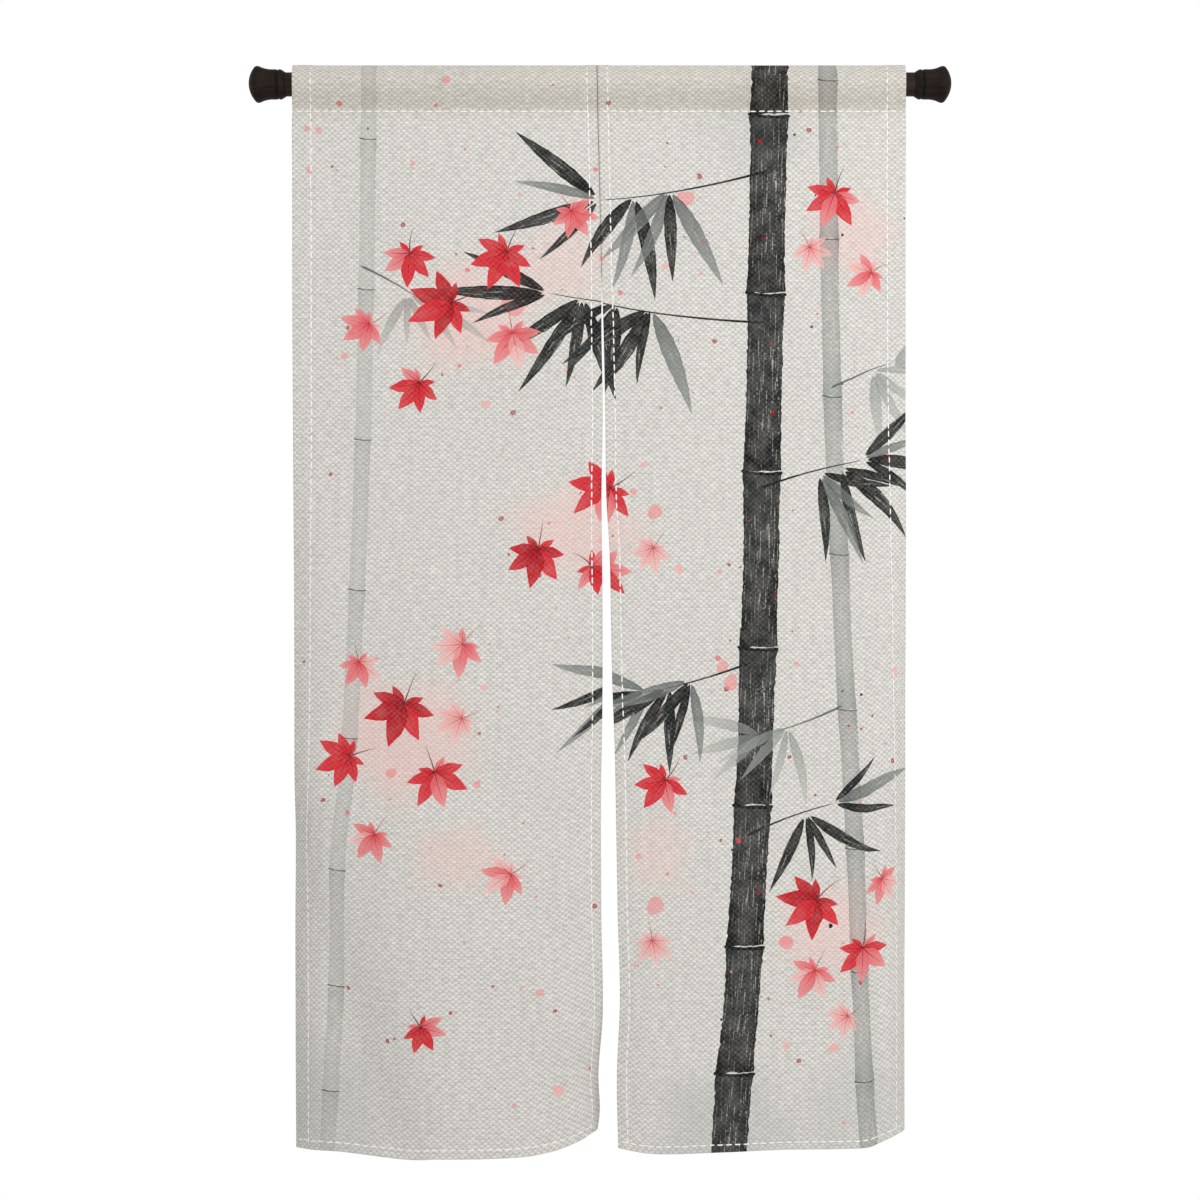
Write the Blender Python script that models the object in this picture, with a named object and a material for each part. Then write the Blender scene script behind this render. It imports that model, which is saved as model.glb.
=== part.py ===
"""A noren: two cloth panels sewn together at the top and hung on a round rod with turned finials.

Metres. The origin is on the rod's axis at mid-span, +X is to the viewer's right, the cloth's front
faces -Y and +Z is up. Each panel is one solid: its side and bottom hems and the rod pocket folded
over at its top are parts of the same sheet.
"""

import math
from collections import namedtuple

import bmesh
import bpy
from mathutils import Vector

MM = 0.001

# Rod and finials
ROD_RADIUS = 16.2 * MM
ROD_HALF_LENGTH = 434.5 * MM
DOWEL_RADIUS = 6.0 * MM
DOWEL_LENGTH = 18.0 * MM
FIT_GAP = 0.3 * MM
DOME_RADIUS = 35.0 * MM
DOME_RIM_RADIUS = 23.9 * MM
DOME_START = 41.5 * MM
DOME_RINGS = 5
ROUND_SIDES = 32

# Cloth
CLOTH = 1.3 * MM
HEM_CLOTH = 2.3 * MM
OUTER_HEM = 26.0 * MM
INNER_HEM = 14.0 * MM
BOTTOM_HEM = 13.5 * MM
HEM_STEP = 0.8 * MM
SEAM_GAP = 0.3 * MM

# Rod pocket: the pressed crease stands above the rod, and the seam that closes it lies below
POCKET_CLEARANCE = 0.5 * MM
CREASE_Z = 27.0 * MM
POCKET_SEAM_Z = -36.0 * MM
FLAP_TAIL = 7.0 * MM
POCKET_ARC_STEPS = 5

# Panel grid, and how far apart two places are taken to find the sheet's slope
COLUMNS = 15
ROWS = 27
SLOPE_REACH = 0.004
SHARP_ANGLE = math.radians(40)

Outline = namedtuple("Outline", "z_mm left_mm right_mm")
Hem = namedtuple("Hem", "across rise_mm")
Fold = namedtuple("Fold", "across half_width top_z_mm full_z_mm forward_mm kept")
Curl = namedtuple("Curl", "side reach_mm back_mm top_z_mm full_z_mm")
Panel = namedtuple("Panel", "name outline hem folds curls left_hem right_hem")
Turned = namedtuple("Turned", "along_mm radius_mm")

# Side edges of each panel from the crease down to the hem. Above -272 mm the inner edges meet at
# the seam that joins the panels. Below it they part, and the right panel swings further away.
LEFT_OUTLINE = (
    Outline(27, -426.8, -4.3),
    Outline(-60, -426.4, -2.7),
    Outline(-110, -426.1, -1.2),
    Outline(-272, -426.0, 2.4),
    Outline(-460, -425.6, 4.0),
    Outline(-570, -425.4, 2.1),
    Outline(-710, -425.4, 3.3),
    Outline(-870, -425.0, 3.2),
    Outline(-980, -424.6, 1.4),
    Outline(-1150, -424.6, 1.9),
    Outline(-1290, -424.4, 3.9),
    Outline(-1375, -424.0, -2.1),
    Outline(-1430, -423.7, -0.3),
    Outline(-1473, -423.5, -6.0),
)
RIGHT_OUTLINE = (
    Outline(27, -4.3, 423.9),
    Outline(-60, -2.7, 423.5),
    Outline(-110, -1.2, 423.2),
    Outline(-272, 2.4, 423.2),
    Outline(-350, 4.9, 423.6),
    Outline(-460, 7.3, 424.1),
    Outline(-570, 8.7, 424.5),
    Outline(-650, 13.3, 424.8),
    Outline(-820, 16.7, 425.6),
    Outline(-930, 20.5, 426.2),
    Outline(-1150, 24.4, 427.2),
    Outline(-1262, 27.3, 427.7),
    Outline(-1372, 23.1, 428.0),
    Outline(-1473, 25.0, 428.2),
)

# The hem's height along each panel, against the straight level it was sewn at. The corners at
# the right of both panels are drawn up.
HEM_LEVEL_Z = -1473.3 * MM
SHEET_DROP = POCKET_SEAM_Z - HEM_LEVEL_Z
LOWEST_Z_MM = -1480.0
LEFT_HEM = (
    Hem(0.00, -3.0),
    Hem(0.12, -1.5),
    Hem(0.30, -5.0),
    Hem(0.50, -7.5),
    Hem(0.75, -7.0),
    Hem(0.86, -1.5),
    Hem(0.94, 6.0),
    Hem(1.00, 17.0),
)
RIGHT_HEM = (
    Hem(0.00, 4.0),
    Hem(0.13, -1.5),
    Hem(0.33, 0.5),
    Hem(0.55, 1.5),
    Hem(0.78, 1.0),
    Hem(0.86, 1.5),
    Hem(0.92, 8.0),
    Hem(1.00, 15.0),
)

# Soft vertical folds: a ridge has a positive forward size, a trough a negative one. The part kept
# at the hem is 1 where the fold runs out through it, and 0 where it has died away.
LEFT_FOLDS = (
    Fold(0.44, 0.35, -350, -1473, 28.0, 1.0),
    Fold(0.93, 0.06, -480, -690, -6.0, 0.0),
    Fold(0.20, 0.12, -600, -1100, -5.0, 0.5),
)
RIGHT_FOLDS = (
    Fold(0.25, 0.40, -350, -1473, 20.0, 1.0),
    Fold(0.86, 0.06, -950, -1290, -7.0, 0.4),
    Fold(0.55, 0.12, -700, -1150, -4.0, 0.5),
)

# Edges that roll back from the viewer, growing towards the hem
LEFT_CURLS = (
    Curl(-1, 42.0, 28.0, -200, -1250),
    Curl(1, 40.0, 12.0, -290, -800),
    Curl(1, 110.0, 24.0, -1150, -1473),
)
RIGHT_CURLS = (
    Curl(1, 50.0, 42.0, -120, -1350),
    Curl(-1, 40.0, 4.0, -290, -800),
)

# The finial's turned side, from its flat inner face to the rim of the dome
FINIAL_SIDE = (
    Turned(0.0, 16.4),
    Turned(6.2, 20.2),
    Turned(13.0, 20.3),
    Turned(13.8, 19.2),
    Turned(14.6, 20.3),
    Turned(21.0, 20.3),
    Turned(26.0, 20.9),
    Turned(31.0, 22.2),
    Turned(35.0, 23.9),
    Turned(37.6, 24.75),
    Turned(39.6, 24.75),
)


def clear_scene():
    for obj in list(bpy.data.objects):
        bpy.data.objects.remove(obj)


def make_material(name, color, roughness):
    """A Principled material of one colour."""
    material = bpy.data.materials.new(name)
    material.use_nodes = True
    shader = material.node_tree.nodes["Principled BSDF"]
    shader.inputs["Base Color"].default_value = (*color, 1.0)
    shader.inputs["Roughness"].default_value = roughness
    shader.inputs["Metallic"].default_value = 0.0
    return material


def make_object(name, vertices, faces, material, location=(0.0, 0.0, 0.0)):
    """A closed mesh object from vertices and faces, shaded smooth but for its sharp edges."""
    mesh = bpy.data.meshes.new(name)
    mesh.from_pydata([tuple(vertex) for vertex in vertices], [], faces)
    shape = bmesh.new()
    shape.from_mesh(mesh)
    bmesh.ops.triangulate(shape, faces=shape.faces, quad_method="BEAUTY")
    bmesh.ops.recalc_face_normals(shape, faces=shape.faces)
    shape.to_mesh(mesh)
    shape.free()
    mesh.shade_smooth()
    mesh.set_sharp_from_angle(angle=SHARP_ANGLE)
    mesh.materials.append(material)
    obj = bpy.data.objects.new(name, mesh)
    obj.location = location
    bpy.context.scene.collection.objects.link(obj)
    return obj


def smooth_step(value):
    value = min(1.0, max(0.0, value))
    return value * value * (3.0 - 2.0 * value)


def curve_through(knots, at):
    """The value at a place on the smooth curve through (place, value) knots, level past its ends."""
    if at <= knots[0][0]:
        return knots[0][1]
    if at >= knots[-1][0]:
        return knots[-1][1]
    after = next(i for i, knot in enumerate(knots) if knot[0] > at)
    (x0, y0), (x1, y1) = knots[after - 1], knots[after]
    before, beyond = knots[max(after - 2, 0)], knots[min(after + 1, len(knots) - 1)]
    slope0 = (y1 - before[1]) / (x1 - before[0])
    slope1 = (beyond[1] - y0) / (beyond[0] - x0)
    span = x1 - x0
    t = (at - x0) / span
    return (
        (2 * t**3 - 3 * t**2 + 1) * y0
        + (t**3 - 2 * t**2 + t) * span * slope0
        + (3 * t**2 - 2 * t**3) * y1
        + (t**3 - t**2) * span * slope1
    )


def edge_x(panel, z, side):
    """The x of the panel's left (side 0) or right (side 1) edge at a height."""
    knots = [(row.z_mm, row[1 + side]) for row in reversed(panel.outline)]
    return curve_through(knots, z / MM) * MM


def hem_z(panel, across):
    knots = [(row.across, row.rise_mm) for row in panel.hem]
    return HEM_LEVEL_Z + curve_through(knots, across) * MM


def fold_depth(panel, across, x, z):
    """How far the sheet lies behind the plane under the rod, from the panel's folds and curls."""
    depth, z_mm = 0.0, z / MM
    for fold in panel.folds:
        grown = smooth_step((z_mm - fold.top_z_mm) / (fold.full_z_mm - fold.top_z_mm))
        below_full = max(0.0, fold.full_z_mm - z_mm) / (fold.full_z_mm - LOWEST_Z_MM)
        kept = 1.0 - (1.0 - fold.kept) * smooth_step(below_full)
        spread = math.exp(-(((across - fold.across) / fold.half_width) ** 2))
        depth -= fold.forward_mm * MM * grown * kept * spread
    for curl in panel.curls:
        grown = smooth_step((z_mm - curl.top_z_mm) / (curl.full_z_mm - curl.top_z_mm))
        from_edge = abs(edge_x(panel, z, (curl.side + 1) // 2) - x)
        inside = max(0.0, 1.0 - from_edge / (curl.reach_mm * MM))
        depth += curl.back_mm * MM * grown * inside * inside
    return depth


def width_point(panel, across, y, z):
    """A point at a depth and a height, part of the way across the panel's width there."""
    left, right = edge_x(panel, z, 0), edge_x(panel, z, 1)
    return Vector((left + across * (right - left), y, z))


def sheet_point(panel, across, down):
    """A point of the sheet's front below the pocket: down is 0 at the pocket's seam, 1 at the hem."""
    point = width_point(panel, across, -CLOTH, POCKET_SEAM_Z + down * (hem_z(panel, across) - POCKET_SEAM_Z))
    point.y += fold_depth(panel, across, point.x, point.z)
    return point


def sheet_normal(panel, across, down):
    """The unit normal of the sheet, pointing to its back."""
    low, high = max(across - SLOPE_REACH, 0.0), min(across + SLOPE_REACH, 1.0)
    above, below = max(down - SLOPE_REACH, 0.0), min(down + SLOPE_REACH, 1.0)
    along = sheet_point(panel, high, down) - sheet_point(panel, low, down)
    up = sheet_point(panel, across, above) - sheet_point(panel, across, below)
    return up.cross(along).normalized()


def pocket_ring(radius, seam_point, crease_z, seam_lean, crease_lean):
    """The pocket's section as (y, z): up from the seam, round the rod, over the crease and down behind."""
    turn = seam_lean + crease_lean
    angles = [turn * i / POCKET_ARC_STEPS - seam_lean for i in range(POCKET_ARC_STEPS + 1)]
    arc = [(-radius * math.cos(angle), radius * math.sin(angle)) for angle in angles]
    front = [seam_point] + arc
    return front + [(0.0, crease_z)] + [(-y, z) for y, z in reversed(front)]


def pocket_sections():
    """The pocket's outer and inner sections. Both are tangent to the rod, and lean from the vertical
    at the seam and at the crease by the same angles. The inner one closes at the seam."""
    inner_radius = ROD_RADIUS + POCKET_CLEARANCE
    outer_radius = inner_radius + CLOTH
    seam_lean = math.asin(inner_radius / abs(POCKET_SEAM_Z))
    crease_lean = math.asin(outer_radius / CREASE_Z)
    inner_crease = inner_radius / math.sin(crease_lean)
    outer_seam = POCKET_SEAM_Z - CLOTH * math.tan(seam_lean / 2)
    outer = pocket_ring(outer_radius, (-CLOTH, outer_seam), CREASE_Z, seam_lean, crease_lean)
    inner = pocket_ring(inner_radius, (0.0, POCKET_SEAM_Z), inner_crease, seam_lean, crease_lean)
    return outer, inner[:-1]


def hem_ends(panel):
    """Where the side hems end, across the panel, and where the bottom hem starts, down the sheet."""
    width = edge_x(panel, POCKET_SEAM_Z, 1) - edge_x(panel, POCKET_SEAM_Z, 0)
    return panel.left_hem / width, 1.0 - panel.right_hem / width, 1.0 - BOTTOM_HEM / SHEET_DROP


def grid_across(panel):
    """Places across the panel: even columns, and a pair of columns where each side hem ends."""
    left_end, right_end, _ = hem_ends(panel)
    step = HEM_STEP / 2 * left_end / panel.left_hem
    inside = [left_end + (right_end - left_end) * i / COLUMNS for i in range(1, COLUMNS)]
    sides = [0.0, left_end / 2, left_end - step, left_end + step]
    return sides + inside + [right_end - step, right_end + step, (right_end + 1) / 2, 1.0]


def grid_down(panel):
    """Places down the sheet: the flap's tail, even rows, and a pair of rows where the hem starts."""
    tail, hem_start = FLAP_TAIL / SHEET_DROP, hem_ends(panel)[2]
    step = HEM_STEP / 2 / SHEET_DROP
    rows = [tail + (hem_start - tail) * i / ROWS for i in range(ROWS)]
    return rows + [hem_start - step, hem_start + step, 1.0]


def thickness_at(panel, across, down):
    """Double cloth inside the hems below the flap, single cloth elsewhere."""
    left_end, right_end, hem_start = hem_ends(panel)
    in_hem = across < left_end or across > right_end or down > hem_start
    below_flap = down > FLAP_TAIL / SHEET_DROP
    return HEM_CLOTH if in_hem and below_flap else CLOTH


def panel_rings(panel):
    """For each place across: the closed outer ring and the closed ring inside the pocket."""
    outer_section, inner_section = pocket_sections()
    downs = grid_down(panel)
    rings = []
    for across in grid_across(panel):
        front = [sheet_point(panel, across, down) for down in reversed(downs)]
        pocket = [width_point(panel, across, y, z) for y, z in outer_section]
        tail = [width_point(panel, across, CLOTH, front[-1].z)]
        back = []
        for down in downs:
            thickness = thickness_at(panel, across, down)
            back.append(sheet_point(panel, across, down) + sheet_normal(panel, across, down) * thickness)
        inner = [width_point(panel, across, y, z) for y, z in inner_section]
        rings.append((front + pocket + tail + back, inner))
    return rings, len(downs), len(outer_section)


def end_faces(rows, pocket_count, outer_size):
    """Quads over a panel's side end, from the order of the points in its rings.

    The outer ring runs up the front's rows, round the pocket, to the flap's tail and down the back's
    rows. The ring inside the pocket follows it and starts where the seam closes the pocket.
    """
    seam_front, tail, seam_inside = rows, rows + pocket_count, outer_size
    back_top, seam_back = tail + 1, tail - 1
    faces = [(i, i + 1, outer_size - 2 - i, outer_size - 1 - i) for i in range(rows - 1)]
    for i in range(pocket_count - 1):
        below = seam_inside + i
        above = seam_inside + (i + 1) % (pocket_count - 1)
        faces.append((seam_front + i, seam_front + i + 1, above, below))
    faces.append((rows - 1, seam_front, seam_inside, back_top))
    faces.append((seam_inside, seam_back, tail, back_top))
    return faces


def build_panel(panel, material):
    rings, rows, pocket_count = panel_rings(panel)
    outer_size, inner_size = len(rings[0][0]), len(rings[0][1])
    ring_size = outer_size + inner_size
    vertices = [point for outer, inner in rings for point in outer + inner]
    faces = []
    for i in range(len(rings) - 1):
        here, there = i * ring_size, (i + 1) * ring_size
        for j in range(outer_size):
            k = (j + 1) % outer_size
            faces.append((here + j, there + j, there + k, here + k))
        for j in range(inner_size):
            k = (j + 1) % inner_size
            faces.append(tuple(outer_size + corner for corner in (here + j, here + k, there + k, there + j)))
    last = (len(rings) - 1) * ring_size
    for quad in end_faces(rows, pocket_count, outer_size):
        faces.append(quad)
        faces.append(tuple(last + corner for corner in reversed(quad)))
    return make_object(panel.name, vertices, faces, material)


def turned_mesh(profile):
    """Vertices and faces of a solid turned about X from (along, radius) rows, with radius 0 at both ends."""
    vertices, rings = [], []
    for along, radius in profile:
        if radius == 0.0:
            rings.append([len(vertices)])
            vertices.append((along, 0.0, 0.0))
            continue
        rings.append(list(range(len(vertices), len(vertices) + ROUND_SIDES)))
        for i in range(ROUND_SIDES):
            angle = 2 * math.pi * i / ROUND_SIDES
            vertices.append((along, radius * math.cos(angle), radius * math.sin(angle)))
    faces = []
    for ring, after in zip(rings, rings[1:]):
        for i in range(ROUND_SIDES):
            k = (i + 1) % ROUND_SIDES
            if len(ring) == 1:
                faces.append((ring[0], after[i], after[k]))
            elif len(after) == 1:
                faces.append((ring[k], ring[i], after[0]))
            else:
                faces.append((ring[k], ring[i], after[i], after[k]))
    return vertices, faces


def build_rod(material):
    """The round pole, with a blind hole in each end for a finial's dowel."""
    hole_radius = DOWEL_RADIUS + FIT_GAP
    hole_end = ROD_HALF_LENGTH - DOWEL_LENGTH - FIT_GAP
    end = ROD_HALF_LENGTH
    half = [(hole_end, 0.0), (hole_end, hole_radius), (end, hole_radius), (end, ROD_RADIUS)]
    profile = [(-along, radius) for along, radius in half] + half[::-1]
    vertices, faces = turned_mesh(profile)
    return make_object("rod", vertices, faces, material)


def build_finial(name, side, material):
    """A turned finial with its origin on the rod's axis, at the flat face that meets the rod's end."""
    dome_depth = DOME_RADIUS - math.sqrt(DOME_RADIUS**2 - DOME_RIM_RADIUS**2)
    dome_angle = math.asin(DOME_RIM_RADIUS / DOME_RADIUS)
    profile = [(-DOWEL_LENGTH, 0.0), (-DOWEL_LENGTH, DOWEL_RADIUS), (0.0, DOWEL_RADIUS)]
    profile += [(row.along_mm * MM, row.radius_mm * MM) for row in FINIAL_SIDE]
    for i in range(DOME_RINGS):
        angle = dome_angle * (1 - i / DOME_RINGS)
        along = DOME_START + dome_depth - DOME_RADIUS * (1 - math.cos(angle))
        profile.append((along, DOME_RADIUS * math.sin(angle)))
    profile.append((DOME_START + dome_depth, 0.0))
    vertices, faces = turned_mesh([(side * along, radius) for along, radius in profile])
    place = (side * (ROD_HALF_LENGTH + FIT_GAP), 0.0, 0.0)
    return make_object(name, vertices, faces, material, place)


def shifted_edges(outline, column, shift_mm):
    """The outline with one edge moved by half the gap between the panels."""
    return tuple(row._replace(**{column: getattr(row, column) + shift_mm}) for row in outline)


def main():
    clear_scene()
    cloth = make_material("cloth", (0.68, 0.66, 0.61), 0.9)
    pole = make_material("pole", (0.022, 0.014, 0.012), 0.35)
    knob = make_material("knob", (0.018, 0.014, 0.013), 0.3)
    half_gap_mm = SEAM_GAP / MM / 2
    left_outline = shifted_edges(LEFT_OUTLINE, "right_mm", -half_gap_mm)
    right_outline = shifted_edges(RIGHT_OUTLINE, "left_mm", half_gap_mm)
    left = Panel("panel_left", left_outline, LEFT_HEM, LEFT_FOLDS, LEFT_CURLS, OUTER_HEM, INNER_HEM)
    right = Panel("panel_right", right_outline, RIGHT_HEM, RIGHT_FOLDS, RIGHT_CURLS, INNER_HEM, OUTER_HEM)
    build_panel(left, cloth)
    build_panel(right, cloth)
    build_rod(pole)
    build_finial("finial_left", -1, knob)
    build_finial("finial_right", 1, knob)


main()
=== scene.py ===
"""Looks of a noren: two printed cloth panels, sewn together at the top, on a dark round rod.

Metres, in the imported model's frame: the origin is on the rod's axis at mid-span, +X is to the
viewer's right, the cloth's front faces -Y and +Z is up. Each panel is one thin closed sheet, worked
out from where a point lies on the flat cloth: its print, hems, rod pocket and folds all follow.
"""

import math
from collections import namedtuple
from functools import lru_cache

import bpy
import numpy as np
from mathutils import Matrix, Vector
from mathutils.geometry import delaunay_2d_cdt

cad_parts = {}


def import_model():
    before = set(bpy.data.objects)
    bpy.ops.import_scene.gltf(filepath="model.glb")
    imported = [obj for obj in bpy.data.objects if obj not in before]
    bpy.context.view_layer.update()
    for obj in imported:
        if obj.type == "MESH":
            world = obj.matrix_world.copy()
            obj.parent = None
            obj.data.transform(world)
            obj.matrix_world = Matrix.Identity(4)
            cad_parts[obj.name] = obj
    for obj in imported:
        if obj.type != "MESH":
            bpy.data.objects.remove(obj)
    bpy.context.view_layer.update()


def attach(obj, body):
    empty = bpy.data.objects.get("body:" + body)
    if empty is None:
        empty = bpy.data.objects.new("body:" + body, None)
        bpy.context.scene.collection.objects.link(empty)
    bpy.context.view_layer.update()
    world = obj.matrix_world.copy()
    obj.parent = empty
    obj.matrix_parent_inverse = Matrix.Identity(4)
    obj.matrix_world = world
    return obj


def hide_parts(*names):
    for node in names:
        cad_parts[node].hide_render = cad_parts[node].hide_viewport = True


MM = 0.001
TINY = 1e-6
SLIVER_AREA = 1e-14

# View: the camera stands level in front of the curtain's middle
VIEW_WIDTH = 1.6608
VIEW_CENTRE_Z = -0.7135
CAMERA_DISTANCE = 2.6
SENSOR_WIDTH = 36.0
FLOOR_Z = -2.05

# Rod and finials, as in the solids
ROD_RADIUS = 16.2 * MM
ROD_HALF_LENGTH = 434.5 * MM
DOWEL_RADIUS = 6.0 * MM
DOWEL_LENGTH = 18.0 * MM
FIT_GAP = 0.3 * MM
DOME_RADIUS = 35.0 * MM
DOME_RIM_RADIUS = 23.9 * MM
DOME_START = 41.5 * MM
DOME_RINGS = 14
ROUND_SIDES = 96
ROUND_STEPS = 4
CORNER_ROUND = 0.5 * MM
GROOVE_FROM_ROD = 10.6 * MM

# Cloth, as in the solids: the sheet's front face lies on theirs
SOLID_CLOTH = 1.3 * MM
POCKET_CLEARANCE = 0.5 * MM
CREASE_Z = 27.0 * MM
POCKET_SEAM_Z = -36.0 * MM
FLAP_TAIL = 7.0 * MM
HEM_LEVEL_Z = -1473.3 * MM
SHEET_DROP = POCKET_SEAM_Z - HEM_LEVEL_Z
LOWEST_Z_MM = -1480.0
JOINED_DROP = 236.0 * MM

# Cloth seen close: its thickness, and the hems with the radius of their folded edges
THICK = 0.9 * MM
FOLD_RADIUS = 1.05 * MM
CORNER_FOLD_RADIUS = 2.15 * MM
FOLD_ARC = math.pi * (FOLD_RADIUS - THICK / 2)
OUTER_HEM = 28.0 * MM
INNER_HEM = 16.0 * MM
BOTTOM_HEM = 14.5 * MM
SEAM_GAP = 0.02 * MM
PANEL_WIDTH = 424.0 * MM
HEM_SLACK = 2.0 * MM
HEM_LIFT_AT_ROD = 0.6 * MM
HEM_LIFT_AT_FLAP = 1.9 * MM
HEM_LIFT_LENGTH = 20.0 * MM
FLAP_FROM_CREASE = 25.0 * MM
FLAP_LIFT_LENGTH = 30.0 * MM
POCKET_ANGLES = 40
PATH_STEP = 0.5 * MM
PATH_SMOOTHING = 2.0 * MM

# How much of the print shows on the back, a hem's shade, the painted shade line in the crevice between
# the panels, and the space left between the cloth's faces for baking
SHOW_THROUGH = 0.3
HEM_SHADE = 0.02
SEAM_SHADE_WIDTH = 0.8 * MM
SEAM_SHADE_END = 8.0 * MM
BAKE_MARGIN = 4.0 * MM

# Outlines of the print's strokes
STROKE_STEP = 5.5 * MM
SHORTEST_STEP = 0.02 * MM
SMALLEST_MARK = 0.3 * MM
EDGE_ROUGHNESS = 0.05

# Weave: the distance from one thread to the next
THREAD_ACROSS = 4.15 * MM
THREAD_DOWN = 3.72 * MM

# Mesh spacing
GRID = 6.5 * MM
FINE = 1.5 * MM
CORNER_STEP = 0.4 * MM
HEM_STEP = 4.0 * MM
CREASE_REACH = 6.0 * MM
SEWN_GRID = 2.0 * MM
SEWN_BAND = 5.0 * MM
MERGED = 0.03 * MM
WIDTH_STEPS = 128
HEIGHT_STEPS = 144
ARC_STEPS = 6

# Running stitches: their lines run this far inside the panel's edges
OUTER_STITCH = 26.0 * MM
INNER_STITCH = 14.0 * MM
LEFT_HEM_STITCH = 12.5 * MM
RIGHT_HEM_STITCH = 10.5 * MM
STITCH_MARGIN = 4.0 * MM
STITCH_TOP = 3.0 * MM
STITCH_BOTTOM = 2.5 * MM
STITCH_PITCH = 12.0 * MM
STITCH_SCATTER = 0.2 * MM
FRONT_STITCH = 8.6 * MM
BACK_STITCH = 4.6 * MM
THREAD_WIDTH = 2.1 * MM
THREAD_HEIGHT = 0.8 * MM
THREAD_TWIST = 0.45 * MM
STITCH_SECTIONS = 9
STITCH_SIDES = 6
SEAM_STITCH_DROP = 1.3 * MM
STITCH_SINK = 0.3 * MM
GROOVE_WIDTH = 2.2 * MM
PUCKER = 7.0 * MM
PUCKER_DEPTH = 0.22 * MM
PUCKER_WIDTH = 9.0 * MM

# A panel's side edges, at heights going down from the crease
Outline = namedtuple("Outline", "z_mm left_mm right_mm")
# The hem's height at a share of the width, against the straight level it was sewn at
Hem = namedtuple("Hem", "across rise_mm")
# A soft vertical fold: a ridge has a positive forward size, a trough a negative one
Fold = namedtuple("Fold", "across half_width top_z_mm full_z_mm forward_mm kept")
# An edge, left -1 or right 1, that rolls back from the viewer, growing towards the hem
Curl = namedtuple("Curl", "side reach_mm back_mm top_z_mm full_z_mm")
# A soft crease along a straight line: a trough goes back, a ridge has a negative size. "Beyond" is
# how much of it is kept on the left of its line, where 1 sets all the cloth there back.
Crease = namedtuple("Crease", "from_x_mm from_z_mm to_x_mm to_z_mm width_mm back_mm beyond")
Panel = namedtuple(
    "Panel",
    "name node outline hem folds curls creases left_hem right_hem left_stitch right_stitch"
    " bottom_stitch print_shift edge_shifts",
)
Turned = namedtuple("Turned", "along_mm radius_mm")


def rows(kind, *values):
    """A table: the values of each row under its kind's names."""
    return tuple(kind(*row) for row in values)


# The panels. Above -272 mm their inner edges meet at the seam that joins them, each set back by
# half of the gap there. Below it they part, and the right panel swings further away.
LEFT_PANEL = Panel(
    name="left_cloth",
    node="panel_left",
    outline=rows(
        Outline,
        (27, -425.6, -4.3), (0, -423.8, -3.8), (-30, -425.4, -3.3), (-60, -426.4, -2.7),
        (-110, -426.1, -1.2), (-272, -426.0, 2.4), (-300, -426.0, 2.1), (-350, -425.9, 2.2),
        (-460, -425.6, 3.9), (-570, -425.4, 2.1), (-710, -425.2, 3.3), (-870, -425.6, 3.2),
        (-980, -426.3, 1.4), (-1150, -428.4, 1.9), (-1290, -428.0, 3.9), (-1375, -427.6, -2.1),
        (-1430, -427.2, -0.3), (-1473, -427.0, -6.0),
    ),
    hem=rows(
        Hem,
        (0.00, -9.0), (0.05, -6.5), (0.12, -5.0), (0.24, -8.2), (0.36, -10.7), (0.42, -9.9),
        (0.49, -7.5), (0.75, -8.0), (0.86, -3.1), (0.94, 6.5), (1.00, 17.0),
    ),
    folds=rows(
        Fold,
        (0.44, 0.35, -350, -1473, 28.0, 1.0), (0.93, 0.06, -480, -690, -6.0, 0.0),
        (0.20, 0.12, -600, -1100, -5.0, 0.5),
    ),
    curls=rows(
        Curl,
        (-1, 52.0, 26.5, -200, -1250), (1, 40.0, 12.0, -290, -800), (1, 110.0, 24.0, -1150, -1473),
    ),
    creases=rows(
        Crease,
        (-298, -1460, -455, -1050, 60, 21, 0.9), (-46, -545, -42, -850, 26, 5.0, 0.0),
        (-330, -640, -90, -700, 30, 1.6, 0.0), (-60, -1010, -300, -930, 34, 2.2, 0.0),
        (-400, -560, -360, -820, 30, -1.8, 0.0), (-140, -1180, -30, -1330, 40, -2.4, 0.0),
    ),
    left_hem=OUTER_HEM,
    right_hem=INNER_HEM,
    left_stitch=OUTER_STITCH,
    right_stitch=INNER_STITCH,
    bottom_stitch=LEFT_HEM_STITCH,
    print_shift=-PANEL_WIDTH,
    edge_shifts=(0.0, -SEAM_GAP / 2),
)
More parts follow.
